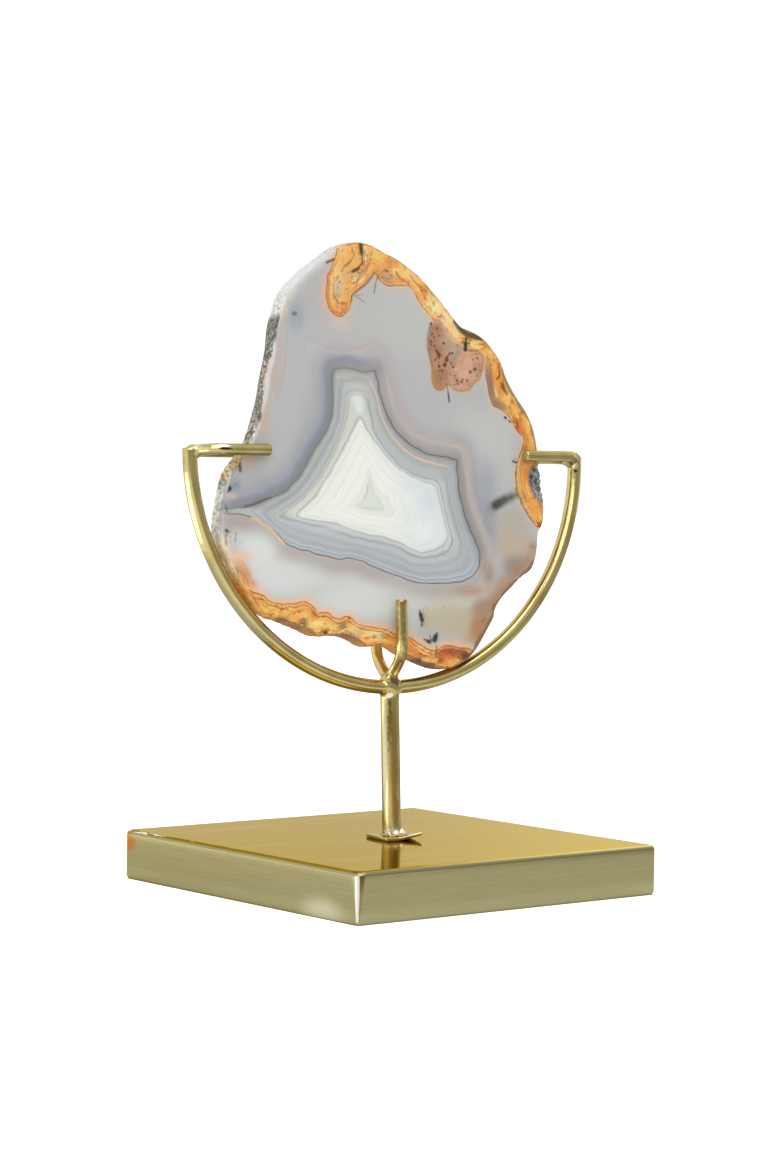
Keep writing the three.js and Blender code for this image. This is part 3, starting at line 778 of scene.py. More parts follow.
# Colours outside the dark outline, by the distance from each of its sides
OUTSIDE = {
    "top": [
        (0, (150, 146, 150)), (1, (166, 158, 158)), (2.2, (158, 157, 165)), (3.5, (150, 155, 169)),
        (5, (182, 182, 187)), (6.5, (196, 192, 194)), (7.5, (188, 180, 182)), (9, (197, 196, 197)),
    ],
    "upper": [
        (0, (150, 148, 152)), (0.8, (168, 164, 168)), (1.8, (178, 170, 170)), (3.2, (184, 178, 178)),
        (4.4, (196, 190, 187)), (5.6, (188, 181, 181)), (6.6, (192, 181, 180)), (8, (184, 183, 188)),
        (12, (192, 191, 194)),
    ],
    "right": [
        (0, (142, 138, 138)), (1, (160, 154, 151)), (3, (174, 167, 165)), (4.4, (196, 186, 182)),
        (5.4, (190, 180, 180)), (7, (164, 163, 174)), (10, (168, 170, 180)), (16, (178, 178, 184)),
    ],
    "bottom": [
        (0, (205, 184, 174)), (1, (188, 181, 178)), (3, (186, 180, 176)), (4.6, (198, 191, 186)),
        (6, (207, 205, 202)), (8, (219, 221, 220)),
    ],
    "left": [
        (0, (136, 134, 134)), (0.8, (140, 142, 148)), (2.4, (144, 150, 163)), (4, (164, 168, 180)),
        (6, (176, 176, 181)), (8, (184, 182, 183)), (11, (190, 190, 191)),
    ],
}

# Soft patches of colour on the body: centre, reach, colour and strength. Only strong ones show near
# the dark outline.
STRONG = 0.9
BODY, BROWN, WASHED = (193, 193, 195), (186, 140, 104), (220, 222, 220)
PATCHES = [
    ((8, 46), (14, 12), (201, 201, 198), 0.9), ((-10, 45), (10, 8), (197, 197, 196), 0.7),
    ((-36, 52), (9, 9), (190, 188, 189), 0.8), ((-42, 57), (5, 5), (204, 206, 204), 0.9),
    ((-45.6, 34), (1.4, 12), (206, 182, 166), 0.55), ((-48.2, 24), (2.4, 6), (206, 178, 158), 0.6),
    ((-52.5, 11), (3, 8), (204, 182, 166), 0.8), ((-44.6, 47), (1.6, 3), (216, 206, 160), 0.9),
    ((-41.2, 51.5), (1.6, 3), (208, 204, 178), 0.8), ((-39.4, 44.5), (3.6, 5), (162, 170, 180), 0.8),
    ((-59.5, -2.8), (4, 2.6), (212, 180, 158), 0.8), ((-65, -14.6), (2.4, 1.1), (212, 188, 174), 0.9),
    ((-60, -10), (5, 5), (180, 178, 182), 0.6), ((-34, 5), (5, 16), (160, 168, 182), 0.5),
    ((-63, -22.8), (6, 2), (188, 172, 168), 0.95),
    ((-69, -32), (3, 5), (232, 216, 188), 0.9), ((-30, 26), (3.6, 5), (152, 161, 178), 0.7),
    ((40, 6), (9, 9), (202, 202, 202), 0.9), ((30, 10), (9, 7), (202, 202, 200), 0.8),
    ((37, -11), (4, 12), (168, 172, 183), 0.8), ((45, -4), (4, 7), (200, 200, 201), 0.8),
    ((47, -24), (7, 6), (190, 184, 172), 0.9), ((37, -24), (4, 7), (160, 163, 170), 0.8),
    ((47, -31), (7, 6), (198, 184, 164), 0.9), ((55, -31), (2.6, 3), (206, 172, 140), 0.8),
    ((-46, -41), (14, 6), (222, 225, 224), 1.0),
    ((-55, -32), (7, 6), (226, 230, 227), 1.0), ((-15, -49), (22, 6), (220, 223, 222), 1.0),
    ((-62, -34), (5, 2), (238, 206, 184), 0.9), ((-63, -37), (2.6, 2.4), (232, 182, 142), 0.9),
    ((-60.6, -40.4), (2.4, 2.8), (228, 158, 104), 0.9), ((-58.8, -43.6), (2.8, 2), (230, 154, 96), 0.9),
    ((20, -55), (12, 6), (198, 190, 164), 0.9), ((14, -60), (6, 3.5), (190, 190, 192), 0.7),
    ((5, -54), (4, 6), (210, 212, 217), 0.8), ((24, -56), (7, 5), (200, 178, 144), 0.8),
    ((28.4, -62), (3.4, 2.6), (208, 162, 124), 0.7), ((32.4, -58.5), (3.6, 4), (186, 134, 92), 0.9),
    ((34, -52), (5, 4), (174, 146, 122), 0.9), ((38, -50), (4, 4), (164, 136, 106), 0.8),
    ((48, -38), (5, 4), (162, 145, 136), 0.9), ((29, -46.2), (7, 1.7), (184, 154, 132), 0.9),
    ((36.8, -40.5), (2.6, 4.5), (168, 150, 136), 0.9), ((42.5, -42.5), (5, 3), (176, 154, 136), 0.8),
    ((38, -18.4), (2.6, 2.4), (138, 142, 143), 0.8), ((-26, 65.4), (2.6, 1.6), (236, 200, 168), 0.9),
    ((-22, 42.6), (4.5, 2.2), (222, 200, 186), 0.7), ((-28.8, 52), (1.5, 7), (222, 186, 168), 0.8),
    ((-23, 64.6), (3, 1.6), (238, 196, 158), 0.95),
]
# Where the stone turns brown towards its edge
BROWNED = [((33, -58), (6, 8), 1.0), ((42, -46), (8, 6), 1.0), ((53, -38), (6, 6), 0.9)]
# Soft patches laid over the bands
WASH = [
    ((-16, 17.8), (3.2, 2.2), (234, 238, 238), 0.95), ((-15.2, 15), (2.2, 3), (238, 241, 238), 0.9),
    ((-16.4, 22.4), (6, 1.4), (212, 204, 200), 0.6), ((-35, -20), (5, 1.4), (250, 252, 250), 0.4),
    ((12.5, -15), (4, 5), (212, 227, 237), 0.5), ((6, -10.5), (5, 2.4), (216, 229, 236), 0.4),
    ((10, -26), (8, 5), (252, 254, 254), 0.45), ((-20, -25), (14, 1.4), (226, 234, 238), 0.35),
    ((-64, -19.5), (9, 1.2), (192, 196, 190), 0.7),
]
AMBER, CRYSTALS, RIND_SHADE = (249, 180, 96), (134, 140, 144), (0.95, 0.9, 0.85)
AMBER_PATCHES = [
    ((-24, 56), (4, 8), (250, 200, 138), 0.9), ((-7.5, 66), (3.6, 1.8), (255, 206, 114), 1.0),
    ((-22.8, 54.4), (2, 3), (204, 194, 166), 0.9), ((-13, 59), (4, 5), (246, 190, 138), 0.8),
    ((-19, 59.4), (3, 1.4), (222, 186, 142), 0.8), ((-15, 57.4), (2.6, 2), (255, 216, 150), 1.0),
    ((-24.6, 61), (2, 3), (255, 208, 128), 0.9), ((-12, 66), (1.6, 2.4), (255, 224, 166), 0.9),
    ((8, 58), (3, 1.4), (255, 216, 138), 0.9), ((-23, 47), (4, 2.2), (248, 188, 120), 0.9),
    ((-21, 66.5), (5, 2.4), (252, 208, 140), 0.9), ((-17.4, 67.2), (2, 1.8), (244, 164, 76), 0.9),
    ((-2, 64), (3, 1.4), (224, 148, 86), 0.9), ((-3.6, 58.8), (4.2, 3.4), (208, 166, 120), 1.0),
    ((5, 60.5), (4, 2.2), (255, 216, 142), 0.9), ((11.5, 55), (2.2, 1.8), (222, 128, 60), 0.9),
    ((15.5, 51), (4, 4), (255, 226, 152), 1.0), ((21, 46), (4, 4), (255, 226, 164), 1.0),
    ((24, 41), (3, 3), (252, 216, 162), 1.0), ((16, 49.6), (2.4, 2), (255, 246, 178), 0.9),
    ((18, 45.4), (2, 2), (240, 218, 180), 1.0), ((33, 37.4), (4, 1.8), (255, 222, 144), 0.9),
    ((39.5, 33), (3, 4), (255, 196, 104), 0.9), ((41, 26), (3, 4), (244, 162, 82), 0.9),
    ((44, 23), (1.3, 2.4), (150, 88, 42), 0.9), ((41, 18.5), (2.4, 3), (196, 142, 96), 0.9),
    ((46.5, 19), (2.6, 4), (255, 204, 116), 0.9), ((51, 13.5), (3, 3), (255, 192, 96), 0.9),
    ((49.4, 9.6), (3.2, 3.8), (196, 90, 28), 1.0), ((55.5, 8), (2.4, 6), (255, 202, 104), 0.8),
    ((53.5, 2), (1.4, 2), (172, 116, 72), 0.8), ((50.6, -8), (1.8, 8), (250, 186, 98), 0.8),
    ((51.4, -15), (1.2, 2.4), (168, 136, 98), 0.8), ((53.4, -6), (1.4, 6), (238, 148, 70), 0.8),
    ((57, -21), (3, 3), (246, 168, 84), 0.8), ((59, -24.4), (2, 2), (134, 74, 24), 1.0),
    ((-57.6, -47.6), (3, 2), (255, 192, 98), 0.9), ((-26.2, -57), (2.4, 1.3), (255, 234, 158), 0.9),
    ((-49, -51.4), (6, 1.8), (255, 212, 108), 1.0), ((-42, -52.4), (5, 1.8), (255, 190, 98), 0.9),
    ((-47, -54.8), (2.6, 1.3), (146, 116, 80), 1.0), ((-38.6, -55.9), (2.1, 1.8), (122, 100, 72), 1.0),
    ((-32.6, -56.2), (4, 1.7), (255, 234, 136), 1.0), ((-28, -56.6), (4, 1.5), (255, 206, 114), 0.9),
    ((-30, -59), (3.4, 1), (146, 100, 64), 0.9), ((-22.8, -57.4), (2.1, 1.6), (138, 118, 84), 1.0),
    ((-19.4, -60), (4, 1.7), (198, 168, 130), 1.0), ((-18.6, -57.8), (2.4, 1.3), (255, 222, 140), 0.9),
    ((-11.6, -60.6), (4.4, 1.6), (255, 242, 174), 1.0), ((-6.8, -61.4), (1.5, 1.8), (186, 162, 114), 0.9),
    ((-3.5, -62), (2.4, 2), (250, 180, 92), 0.9), ((6, -65.6), (5, 2), (247, 166, 80), 0.9),
    ((8, -69.2), (2, 1.3), (120, 88, 52), 1.0), ((12.4, -70.6), (1.8, 1), (114, 90, 62), 1.0),
    ((10, -67.2), (3, 1.2), (216, 112, 36), 1.0), ((20, -66.6), (7, 2.6), (188, 94, 56), 1.0),
    ((16, -69.6), (2, 1.3), (190, 84, 40), 1.0), ((26.4, -68.4), (3.4, 2.2), (96, 62, 46), 1.0),
]

LOBE = (204, 158, 130)
LOBE_PATCHES = [
    ((16, 37), (3.6, 6), (192, 144, 118), 1.0), ((17, 25.4), (3, 4), (178, 136, 96), 1.0),
    ((28, 29), (6, 7), (226, 178, 148), 1.0), ((17, 43.5), (3, 3), (176, 132, 100), 0.9),
    ((20.4, 38), (2, 3), (190, 160, 150), 0.8), ((22.6, 40), (2.4, 3.4), (224, 196, 160), 0.9),
    ((23, 35.6), (2, 2.6), (206, 182, 154), 0.8), ((32, 34.6), (4, 1.8), (228, 178, 132), 0.9),
    ((17.6, 33.4), (1.6, 2.4), (196, 130, 92), 0.8),
]
# Where each finish shows, and where the crust has painted glints: centre, reach and strength
SPECKLED = [
    ((-23, 49.6), (3, 2), 0.5), ((-20, 56), (3, 5), 0.5), ((-3, 60), (6, 4), 0.9), ((-12, 66), (5, 4), 0.8),
    ((10, 56), (6, 4), 0.5), ((41, 26), (4, 6), 0.5), ((49, 9), (4, 5), 0.6), ((55, 6), (4, 10), 0.5),
    ((-50, -52), (8, 4), 0.1), ((-30, -57), (10, 3), 0.2), ((8, -66), (8, 3), 0.4), ((20, -68), (8, 3), 0.7),
]
# The rim down its left side, from its top: height of each stop with the sign turned, and colour
LEFT_RIM = [
    (-80, (214, 216, 213)), (-45.2, (210, 213, 210)), (-43.8, (112, 110, 98)), (-30, (104, 102, 90)),
    (-26, (158, 134, 92)), (-22, (112, 106, 94)), (-10, (134, 128, 116)), (-1, (150, 136, 112)),
    (3, (196, 164, 102)), (8, (206, 172, 108)), (10.4, (158, 152, 136)), (13, (220, 223, 218)),
    (27, (224, 222, 212)), (31, (234, 216, 180)), (38, (230, 200, 156)), (44, (236, 176, 104)),
]
RIND_PATCHES = [
    ((31, 42), (7, 4), (110, 94, 70), 1.0), ((48, 20), (6, 10), (132, 120, 100), 1.0),
    ((-42, -58), (10, 4), (164, 112, 66), 0.8), ((-22, -62), (9, 3), (150, 100, 62), 0.8),
    ((10, -71), (10, 4), (118, 86, 58), 0.9), ((30, -66), (8, 8), (112, 88, 70), 0.9),
    ((40, -50), (8, 9), (128, 104, 84), 0.9), ((54, -36), (6, 8), (134, 108, 86), 0.9),
]
GLINTING = [
    ((-60, 6), (10, 7), 1.0), ((-52, 30), (8, 14), 0.5), ((-66, -6), (6, 4), 0.8),
    ((-72, -20), (9, 10), 0.5), ((58, -10), (5, 9), 0.5),
]
HALOED = [
    ((-20, 35), (20, 9), 0.7), ((4, 16), (14, 16), 0.8), ((27, -8), (8, 16), 0.8),
    ((30, -38), (10, 12), 0.8),
]
FROSTED = [((-38, 60), (17, 15), 1.0), ((-72, -20), (9, 12), 0.3)]
CLEAR_EDGE = [((-48, 22), (6, 13), 0.42), ((-70, -16), (8, 12), 0.36), ((-55, 4), (6, 6), 0.2)]
SKINNED = [
    ((46, 23), (4, 6), 1.2), ((51, 16), (4, 5), 1.5), ((57, 6), (3, 6), 0.7), ((-40, -57.5), (10, 4), 0.5),
    ((-22, -61.5), (10, 3), 0.5), ((2, -68), (8, 3), 0.4), ((12, -71), (8, 3), 0.9), ((31, 41), (6, 3), 1.6),
    ((32.5, -63), (5, 5), 1.6), ((37.6, -54), (4, 6), 1.4), ((45, -45.5), (6, 4), 1.0),
    ((53, -39), (5, 4), 1.0),
]
BORDERED = [((-25, 52), (6, 13), 1.0), ((-14, 58), (6, 5), 0.6)]
FRINGED = [((38.5, 24), (4, 9), 1.0), ((42, 17), (4, 3), 0.9)]

# Inclusions and cracks: a path, half width, softness, strength and colour
DARK_INK, BROWN_INK = (62, 60, 58), (112, 70, 42)
MARKS = [
    ([(-27.3, 62.6), (-24.6, 63.8)], 0.38, 0.25, 0.92, DARK_INK),
    ([(-7.3, 58.7), (-8, 56.4), (-8.6, 53.4)], 0.2, 0.25, 0.85, (96, 82, 68)),
    ([(-17, 52.7), (-12.7, 50.2)], 0.15, 0.22, 0.8, (104, 80, 72)),
    ([(-40.5, 45.2), (-39.9, 45.4)], 0.5, 0.6, 0.9, (70, 86, 92)),
    ([(-17.7, 50.4), (-17.5, 52.7), (-15, 54), (-12.2, 55.8), (-10, 57.8), (-8.4, 60.2)],
     0.2, 0.4, 0.85, (100, 80, 58)),
    ([(-11.2, 66), (-10.8, 62.4), (-12, 59.8), (-15, 57.2), (-18, 56)], 0.14, 0.3, 0.8, (190, 96, 44)),
    ([(0.4, 60.8), (1.4, 59.2), (3.4, 58.2)], 0.3, 0.35, 0.8, (126, 78, 40)),
    ([(6.2, 60), (8, 57.8), (10.4, 56.2)], 0.22, 0.3, 0.8, (140, 84, 40)),
    ([(-3.8, 61.2), (-3.4, 61)], 0.35, 0.25, 0.85, (120, 70, 38)),
    ([(-13.9, 70), (-13.4, 66.6)], 0.85, 0.5, 0.95, (50, 45, 28)),
    ([(-13.3, 66.4), (-13.1, 63.2), (-15.2, 61.2)], 0.3, 0.3, 0.95, (66, 48, 28)),
    ([(-15.2, 61), (-17, 60.2)], 0.6, 0.4, 0.95, (58, 52, 34)),
    ([(-21.4, 60), (-20.6, 61.6), (-17.6, 63.6), (-16.4, 65.6), (-17.1, 67.4)], 0.2, 0.25, 0.85, BROWN_INK),
    ([(-9.2, 67.4), (-9.6, 64.6), (-12, 61.4), (-14.8, 58.6), (-15.6, 55.6)], 0.16, 0.25, 0.7, BROWN_INK),
    ([(-24.6, 58), (-24.8, 53), (-23.8, 50.4)], 0.16, 0.25, 0.6, BROWN_INK),
    ([(24.6, 45), (26.6, 42.6), (29.2, 40.9), (33, 40.2), (35.6, 40.2)], 1.0, 0.4, 0.92, (88, 72, 48)),
    ([(28.8, 39.6), (28.6, 37.8)], 0.5, 0.3, 0.95, (40, 36, 26)),
    ([(28.6, 37.4), (28.5, 35.8)], 0.75, 0.3, 0.97, (26, 26, 22)),
    ([(27.2, 38.3), (28.4, 37.6)], 0.3, 0.25, 0.9, (44, 40, 30)),
    ([(28.8, 37.9), (30.3, 38.1)], 0.26, 0.25, 0.9, (50, 44, 30)),
    ([(29.8, 35.3), (32, 35.4), (34.6, 35.8), (37, 36.9)], 0.12, 0.25, 0.8, (150, 84, 40)),
    ([(20.4, 24.6), (21, 20.8)], 0.2, 0.4, 0.8, (78, 74, 72)),
    ([(21.1, 20.4), (21.4, 18)], 0.34, 0.25, 0.95, (42, 42, 46)),
    ([(20.4, 24.4), (20.2, 28.4)], 0.5, 1.0, 0.6, (132, 108, 86)),
    ([(22.6, 31.4), (24.2, 33.2)], 0.4, 0.8, 0.7, (150, 152, 142)),
    ([(24.2, 33.2), (25.6, 35.2)], 0.75, 0.7, 0.75, (142, 150, 142)),
    ([(25.6, 35.2), (27, 37.6)], 0.6, 1.0, 0.6, (176, 178, 158)),
    ([(13.9, 43), (13.2, 39), (13.7, 34), (14.7, 30)], 0.4, 0.6, 0.75, (132, 116, 104)),
    ([(40.3, -17), (42, -16.2)], 1.75, 0.8, 0.93, (62, 64, 56)),
    ([(42, -16.2), (44.4, -15.1)], 1.6, 0.9, 0.9, (68, 70, 62)),
    ([(44.4, -15.1), (47, -14.2)], 1.4, 1.0, 0.85, (76, 76, 68)),
    ([(55.6, -31.3), (57.2, -31.8)], 0.9, 1.3, 0.6, (122, 122, 110)),
    ([(47, -14.2), (49.4, -13.4)], 1.15, 1.0, 0.75, (88, 84, 72)),
    ([(50.8, -0.8), (50, -4), (49.8, -8), (50.6, -12.5), (52.4, -16.2), (54.8, -19.8), (57, -22.2)],
     0.3, 0.4, 0.75, (240, 208, 150)),
    ([(52, -1.4), (51.3, -4), (51.1, -8), (51.8, -12), (53.4, -15.4)], 0.09, 0.25, 0.75, (112, 70, 40)),
    ([(52.4, 3), (50.4, -0.8), (49.4, -4), (49, -8), (49.8, -13), (51.6, -16.6), (54, -20.4), (56.4, -23)],
     0.16, 0.3, 0.85, (104, 66, 38)),
    ([(57.5, -2.3), (55.3, -4.4), (54.3, -7), (54.8, -10), (56.3, -13.2), (58.4, -15.8), (60.4, -17.8)],
     0.2, 0.5, 0.7, (150, 82, 40)),
    ([(14.6, -64.8), (14.3, -68.6)], 0.3, 0.35, 0.8, (104, 58, 30)),
    ([(27, -48.6), (33, -46.8), (38.5, -44.4), (44, -43.2)], 0.5, 1.5, 0.45, (208, 166, 128)),
    ([(-60.5, -20.7), (-65, -20.3), (-69, -20.2)], 0.16, 0.4, 0.7, (172, 142, 126)),
    ([(47.9, -1.9), (49.4, -2.5)], 0.36, 0.25, 0.95, (40, 40, 40)),
    ([(44.7, 13.1), (45.2, 12.8)], 0.42, 0.25, 0.95, (44, 42, 40)),
    ([(46.4, 12), (47.3, 11.4)], 0.28, 0.25, 0.9, DARK_INK),
    ([(42.4, 31.4), (42.9, 29), (42.7, 27), (41.6, 26.2)], 0.35, 0.3, 0.85, (104, 62, 30)),
    ([(43.9, 24.4), (44.6, 22.8), (45.8, 21.2)], 0.5, 0.45, 0.85, (120, 62, 28)),
    ([(8, -52.8), (8.3, -54)], 0.4, 0.4, 0.92, (50, 58, 62)),
    ([(8.3, -54), (8.8, -55.8)], 0.8, 0.4, 0.96, (34, 42, 46)),
    ([(8.8, -55.8), (8.7, -57.6)], 0.45, 0.45, 0.92, (46, 54, 60)),
    ([(7.4, -52.6), (8.1, -53.6)], 0.25, 0.35, 0.6, (96, 108, 122)),
    ([(10.6, -51.6), (10.8, -57)], 0.5, 1.0, 0.5, (206, 176, 112)),
    ([(14.9, -60.5), (14.3, -61.6)], 0.5, 0.4, 0.94, (44, 50, 56)),
    ([(14.3, -61.6), (13.8, -62.5)], 1.0, 0.4, 0.96, (34, 40, 44)),
    ([(15.6, -60.6), (15.4, -62.8)], 0.4, 0.6, 0.5, (150, 176, 204)),
    ([(9.6, -62.3), (11, -62.9)], 0.28, 0.3, 0.88, (64, 60, 60)),
    ([(11, -62.9), (11.9, -63.3)], 0.6, 0.3, 0.94, (44, 42, 42)),
    ([(15.2, -68), (16.6, -66.5), (18.8, -66), (20.6, -66.8), (21.5, -68.6)], 0.12, 0.3, 0.7, (136, 66, 40)),
    ([(21.8, -67.8), (23.2, -66.4), (25.2, -66.1), (27.2, -67.2)], 0.12, 0.3, 0.7, (128, 70, 46)),
    ([(17.7, -51.9), (18, -51.7)], 0.2, 0.25, 0.7, (120, 110, 100)),
    ([(33.8, -56.4), (35, -56)], 0.3, 0.4, 0.6, (110, 84, 66)),
    ([(-67.2, -12.3), (-66.2, -11.9)], 1.2, 0.4, 0.96, (44, 40, 32)),
    ([(-66.2, -9.4), (-65.2, -7.4), (-63.8, -5.2)], 0.6, 0.5, 0.85, (140, 122, 94)),
    ([(-62.8, -37.4), (-60.4, -40.6), (-59.4, -43.6)], 0.12, 0.45, 0.6, (180, 98, 52)),
    ([(-61.4, -36.4), (-58.6, -40.2), (-57.4, -43.2)], 0.1, 0.45, 0.5, (196, 124, 76)),
    ([(-64.6, -11.2), (-63.4, -10.9)], 1.3, 1.3, 0.85, (130, 148, 166)),
    ([(-62.2, -3.6), (-61.9, -6.2)], 0.6, 0.45, 0.9, (72, 64, 52)),
    ([(-68, -17), (-67.2, -19.2)], 0.55, 0.5, 0.75, (92, 96, 82)),
    ([(-60.4, -17.9), (-57, -17.1), (-53.4, -15.8), (-50.4, -15)], 0.22, 0.35, 0.9, (80, 68, 64)),
    ([(-67.4, -25.6), (-67, -26)], 0.55, 0.4, 0.95, (56, 50, 48)),
    ([(-67.8, -27.2), (-67.6, -30)], 0.3, 0.4, 0.75, (150, 100, 64)),
    ([(-63.8, -26.2), (-64.2, -29)], 0.18, 0.35, 0.75, (130, 108, 84)),
    ([(-68.6, -26.4), (-65.6, -25.6)], 0.15, 0.4, 0.6, (130, 118, 112)),
    ([(-64.4, -38), (-63.5, -39.3)], 0.5, 0.45, 0.92, (80, 66, 56)),
    ([(-63.4, -40.8), (-62.2, -42.6)], 0.5, 0.7, 0.7, (124, 98, 86)),
    ([(-57.8, -21.4), (-55, -22.6), (-52, -24.2), (-49.6, -26), (-47.6, -28), (-45.6, -29.9)],
     0.3, 0.3, 0.95, (255, 212, 148)),
    ([(-44.2, 47), (-43.5, 42), (-43.2, 37), (-43.5, 33.5), (-44.2, 28.5), (-45, 24.5), (-46.5, 20),
      (-48.5, 16)],
     0.1, 0.45, 0.55, (186, 158, 140)),
    ([(57, -31), (54, -35.6), (47, -42.2), (41, -47.6), (37.6, -54), (33, -61.4)],
     0.3, 1.5, 0.5, (170, 124, 88)),
    ([(-12.2, -10.6), (-12.6, -13.4), (-13.8, -15.4)], 0.1, 0.4, 0.6, (172, 184, 174)),
    ([(-14.4, -18.1), (-8.6, -18.5)], 0.08, 0.3, 0.6, (178, 190, 178)),
    ([(-24.4, 25.2), (-19.8, 25)], 0.1, 0.2, 0.8, (248, 228, 200)),
    ([(-23.6, 24.4), (-18, 24.2), (-13, 23.8)], 0.08, 0.25, 0.5, (214, 198, 184)),
]
# Round dark spots in the lobes: x, z, half width
SPOTS = [
    (14.4, 44, 0.45), (14.2, 38, 0.4), (16.8, 42.5, 0.35), (15.6, 36.6, 0.3), (16.4, 35, 0.4),
    (17, 34.2, 0.5), (17.6, 33.6, 0.5), (17.4, 32.6, 0.3), (16, 32, 0.3), (20.6, 32.1, 0.7), (20.9, 33, 0.4),
    (19.7, 30.2, 0.6), (17.4, 29.8, 0.5), (18.6, 28.2, 0.35), (21.8, 34.2, 0.3), (22.9, 34.4, 0.35),
    (24.6, 33.2, 0.35), (23.3, 29.6, 0.35), (22.4, 31, 0.25), (23.8, 26.8, 0.3), (24.8, 25.2, 0.35),
    (25.2, 24, 0.3), (26.8, 24.6, 0.3), (27.2, 25.6, 0.25), (26.2, 24.9, 0.2), (29, 25.2, 0.3),
    (30.4, 28.2, 0.5), (32.3, 29.2, 0.5), (33.4, 33, 0.3), (31.6, 32.4, 0.25), (18, 25.6, 0.2),
    (15.6, 39.4, 0.3), (17.8, 40.2, 0.3), (14.8, 40.6, 0.3), (19.4, 37.6, 0.4), (-23.6, 50.2, 0.2),
    (-22.8, 49.6, 0.25), (-22, 49, 0.2), (-21.4, 49.6, 0.2), (-20.6, 49.2, 0.2), (-24.8, 51, 0.2),
    (-24.6, 52, 0.15), (-23, 58, 0.25), (-22.4, 56.4, 0.3), (-19.4, 54.2, 0.2), (-46.6, -51.3, 0.2),
    (-44.6, -51.4, 0.3), (-40.2, -52.2, 0.3), (-30, -59.2, 0.5), (-36.4, -59.4, 0.3), (-20.6, -54.8, 0.3),
    (-44.6, -55.8, 0.35),
]
MARKS += [([(x - 0.05, z), (x + 0.05, z)], 1.2 * half, 0.22, 0.88, (92, 50, 32)) for x, z, half in SPOTS]


# Agate: shape

STONE_FRONT, STONE_BACK = -4.4, 2.6
MIDDLE = np.array((-2.0, -12.0))  # the whole outline can be seen from here
GRID = 208
RIM_ROWS = (0.035, 0.1, 0.2, 0.32, 0.44, 0.56, 0.68, 0.8, 0.9, 0.965)
CRUST_DEPTH, SKIN_DEPTH, BEVEL = 0.42, 0.14, 0.25
POCKET_DEPTH, POCKET_REACH = 3.2, 5.5
# The lines of the pattern wander a little, and a mark is drawn up to this far from its path
WANDER, WANDER_LENGTH, MARK_REACH = 0.14, 5.0, 1.6
# The halos round the dark outline give way to the body's colour between these distances
HALOS_END, BODY_STARTS = 5, 13
# Heights above the base's underside: the lobes' edge fades, and the rind is smoother further down
LOBE_FADES, RIND_SMOOTH = (186, 180), (122, 116)


def rounded(line, closed=True, rounds=2):
    """A line with its corners cut off, again and again."""
    line = np.array(line, float)
    for _ in range(rounds):
        after = np.roll(line, -1, axis=0) if closed else line[1:]
        before = line if closed else line[:-1]
        cut = np.stack([0.75 * before + 0.25 * after, 0.25 * before + 0.75 * after], 1).reshape(-1, 2)
        line = cut if closed else np.vstack([line[:1], cut, line[-1:]])
    return line


def is_inside(points, line):
    found = np.zeros(len(points), bool)
    for a, b in zip(line, np.roll(line, -1, axis=0)):
        if a[1] == b[1]:
            continue
        crosses = (a[1] > points[:, 1]) != (b[1] > points[:, 1])
        at = a[0] + (points[:, 1] - a[1]) * (b[0] - a[0]) / (b[1] - a[1])
        found ^= crosses & (points[:, 0] < at)
    return found


def depth_in(points, line):
    """Distance from a closed line, above 0 inside it."""
    away = away_from(points, line, closed=True)
    return np.where(is_inside(points, line), away, -away)


def ripple(points, length, seed, waves=7):
    """A smooth uneven value about 0 that varies over roughly the given length."""
    rng = np.random.default_rng(seed)
    total = np.zeros(len(points))
    for _ in range(waves):
        direction = rng.normal(size=points.shape[1])
        direction *= TAU / (length * rng.uniform(0.7, 1.6) * np.linalg.norm(direction))
        total += np.sin(points @ direction + rng.uniform(0, TAU))
    return total / math.sqrt(waves)


def between(value, low, high):
    """0 up to low, 1 from high on, and smooth between them."""
    t = np.clip((value - low) / (high - low), 0, 1)
    return t * t * (3 - 2 * t)


def profile(distance, stops):
    """The linear colour at each distance, from stops of (distance, screen colour)."""
    at = [stop for stop, _ in stops]
    colours = np.array([srgb(*colour) for _, colour in stops])
    return np.stack([np.interp(distance, at, colours[:, c]) for c in range(3)], 1)


def soft_spot(points, centre, reach):
    """1 in the middle of a soft round spot, falling to 0 outside its reach."""
    return np.exp(-1.1 * (((points - centre) / reach) ** 2).sum(1) ** 1.3)


def painted(base, points, patches):
    """A base colour with soft patches laid over it."""
    for centre, reach, colour, strength in patches:
        base = base + strength * soft_spot(points, centre, reach)[:, None] * (srgb(*colour) - base)
    return base


def soft_sums(points, *lists):
    """For each list, the strongest of its soft spots (centre, reach, strength) at each point."""
    return np.stack([
        np.max([strength * soft_spot(points, centre, reach) for centre, reach, strength in spots], axis=0)
        for spots in lists
    ], 1)


def reach_towards(points, middle, line):
    """How far a closed line lies from a point inside it, in each point's direction."""
    out, offset = line - middle, points - middle
    angle, wanted = np.arctan2(out[:, 1], out[:, 0]), np.arctan2(offset[:, 1], offset[:, 0])
    order = np.argsort(angle)
    return np.interp(wanted, angle[order], np.hypot(*out.T)[order], period=TAU)


def stone_edge():
    """The stone's outline, from the back edge of its solid."""
    points = into_holder(coordinates(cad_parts["agate_slice"].data) / MM)
    return points[np.abs(points[:, 1] - STONE_BACK) < 0.02][:, [0, 2]]


def to_edge(flat):
    """Distance from each point to the stone's outline, measured from its middle."""
    return reach_towards(flat, MIDDLE, stone_edge()) + BEVEL - np.hypot(*(flat - MIDDLE).T)


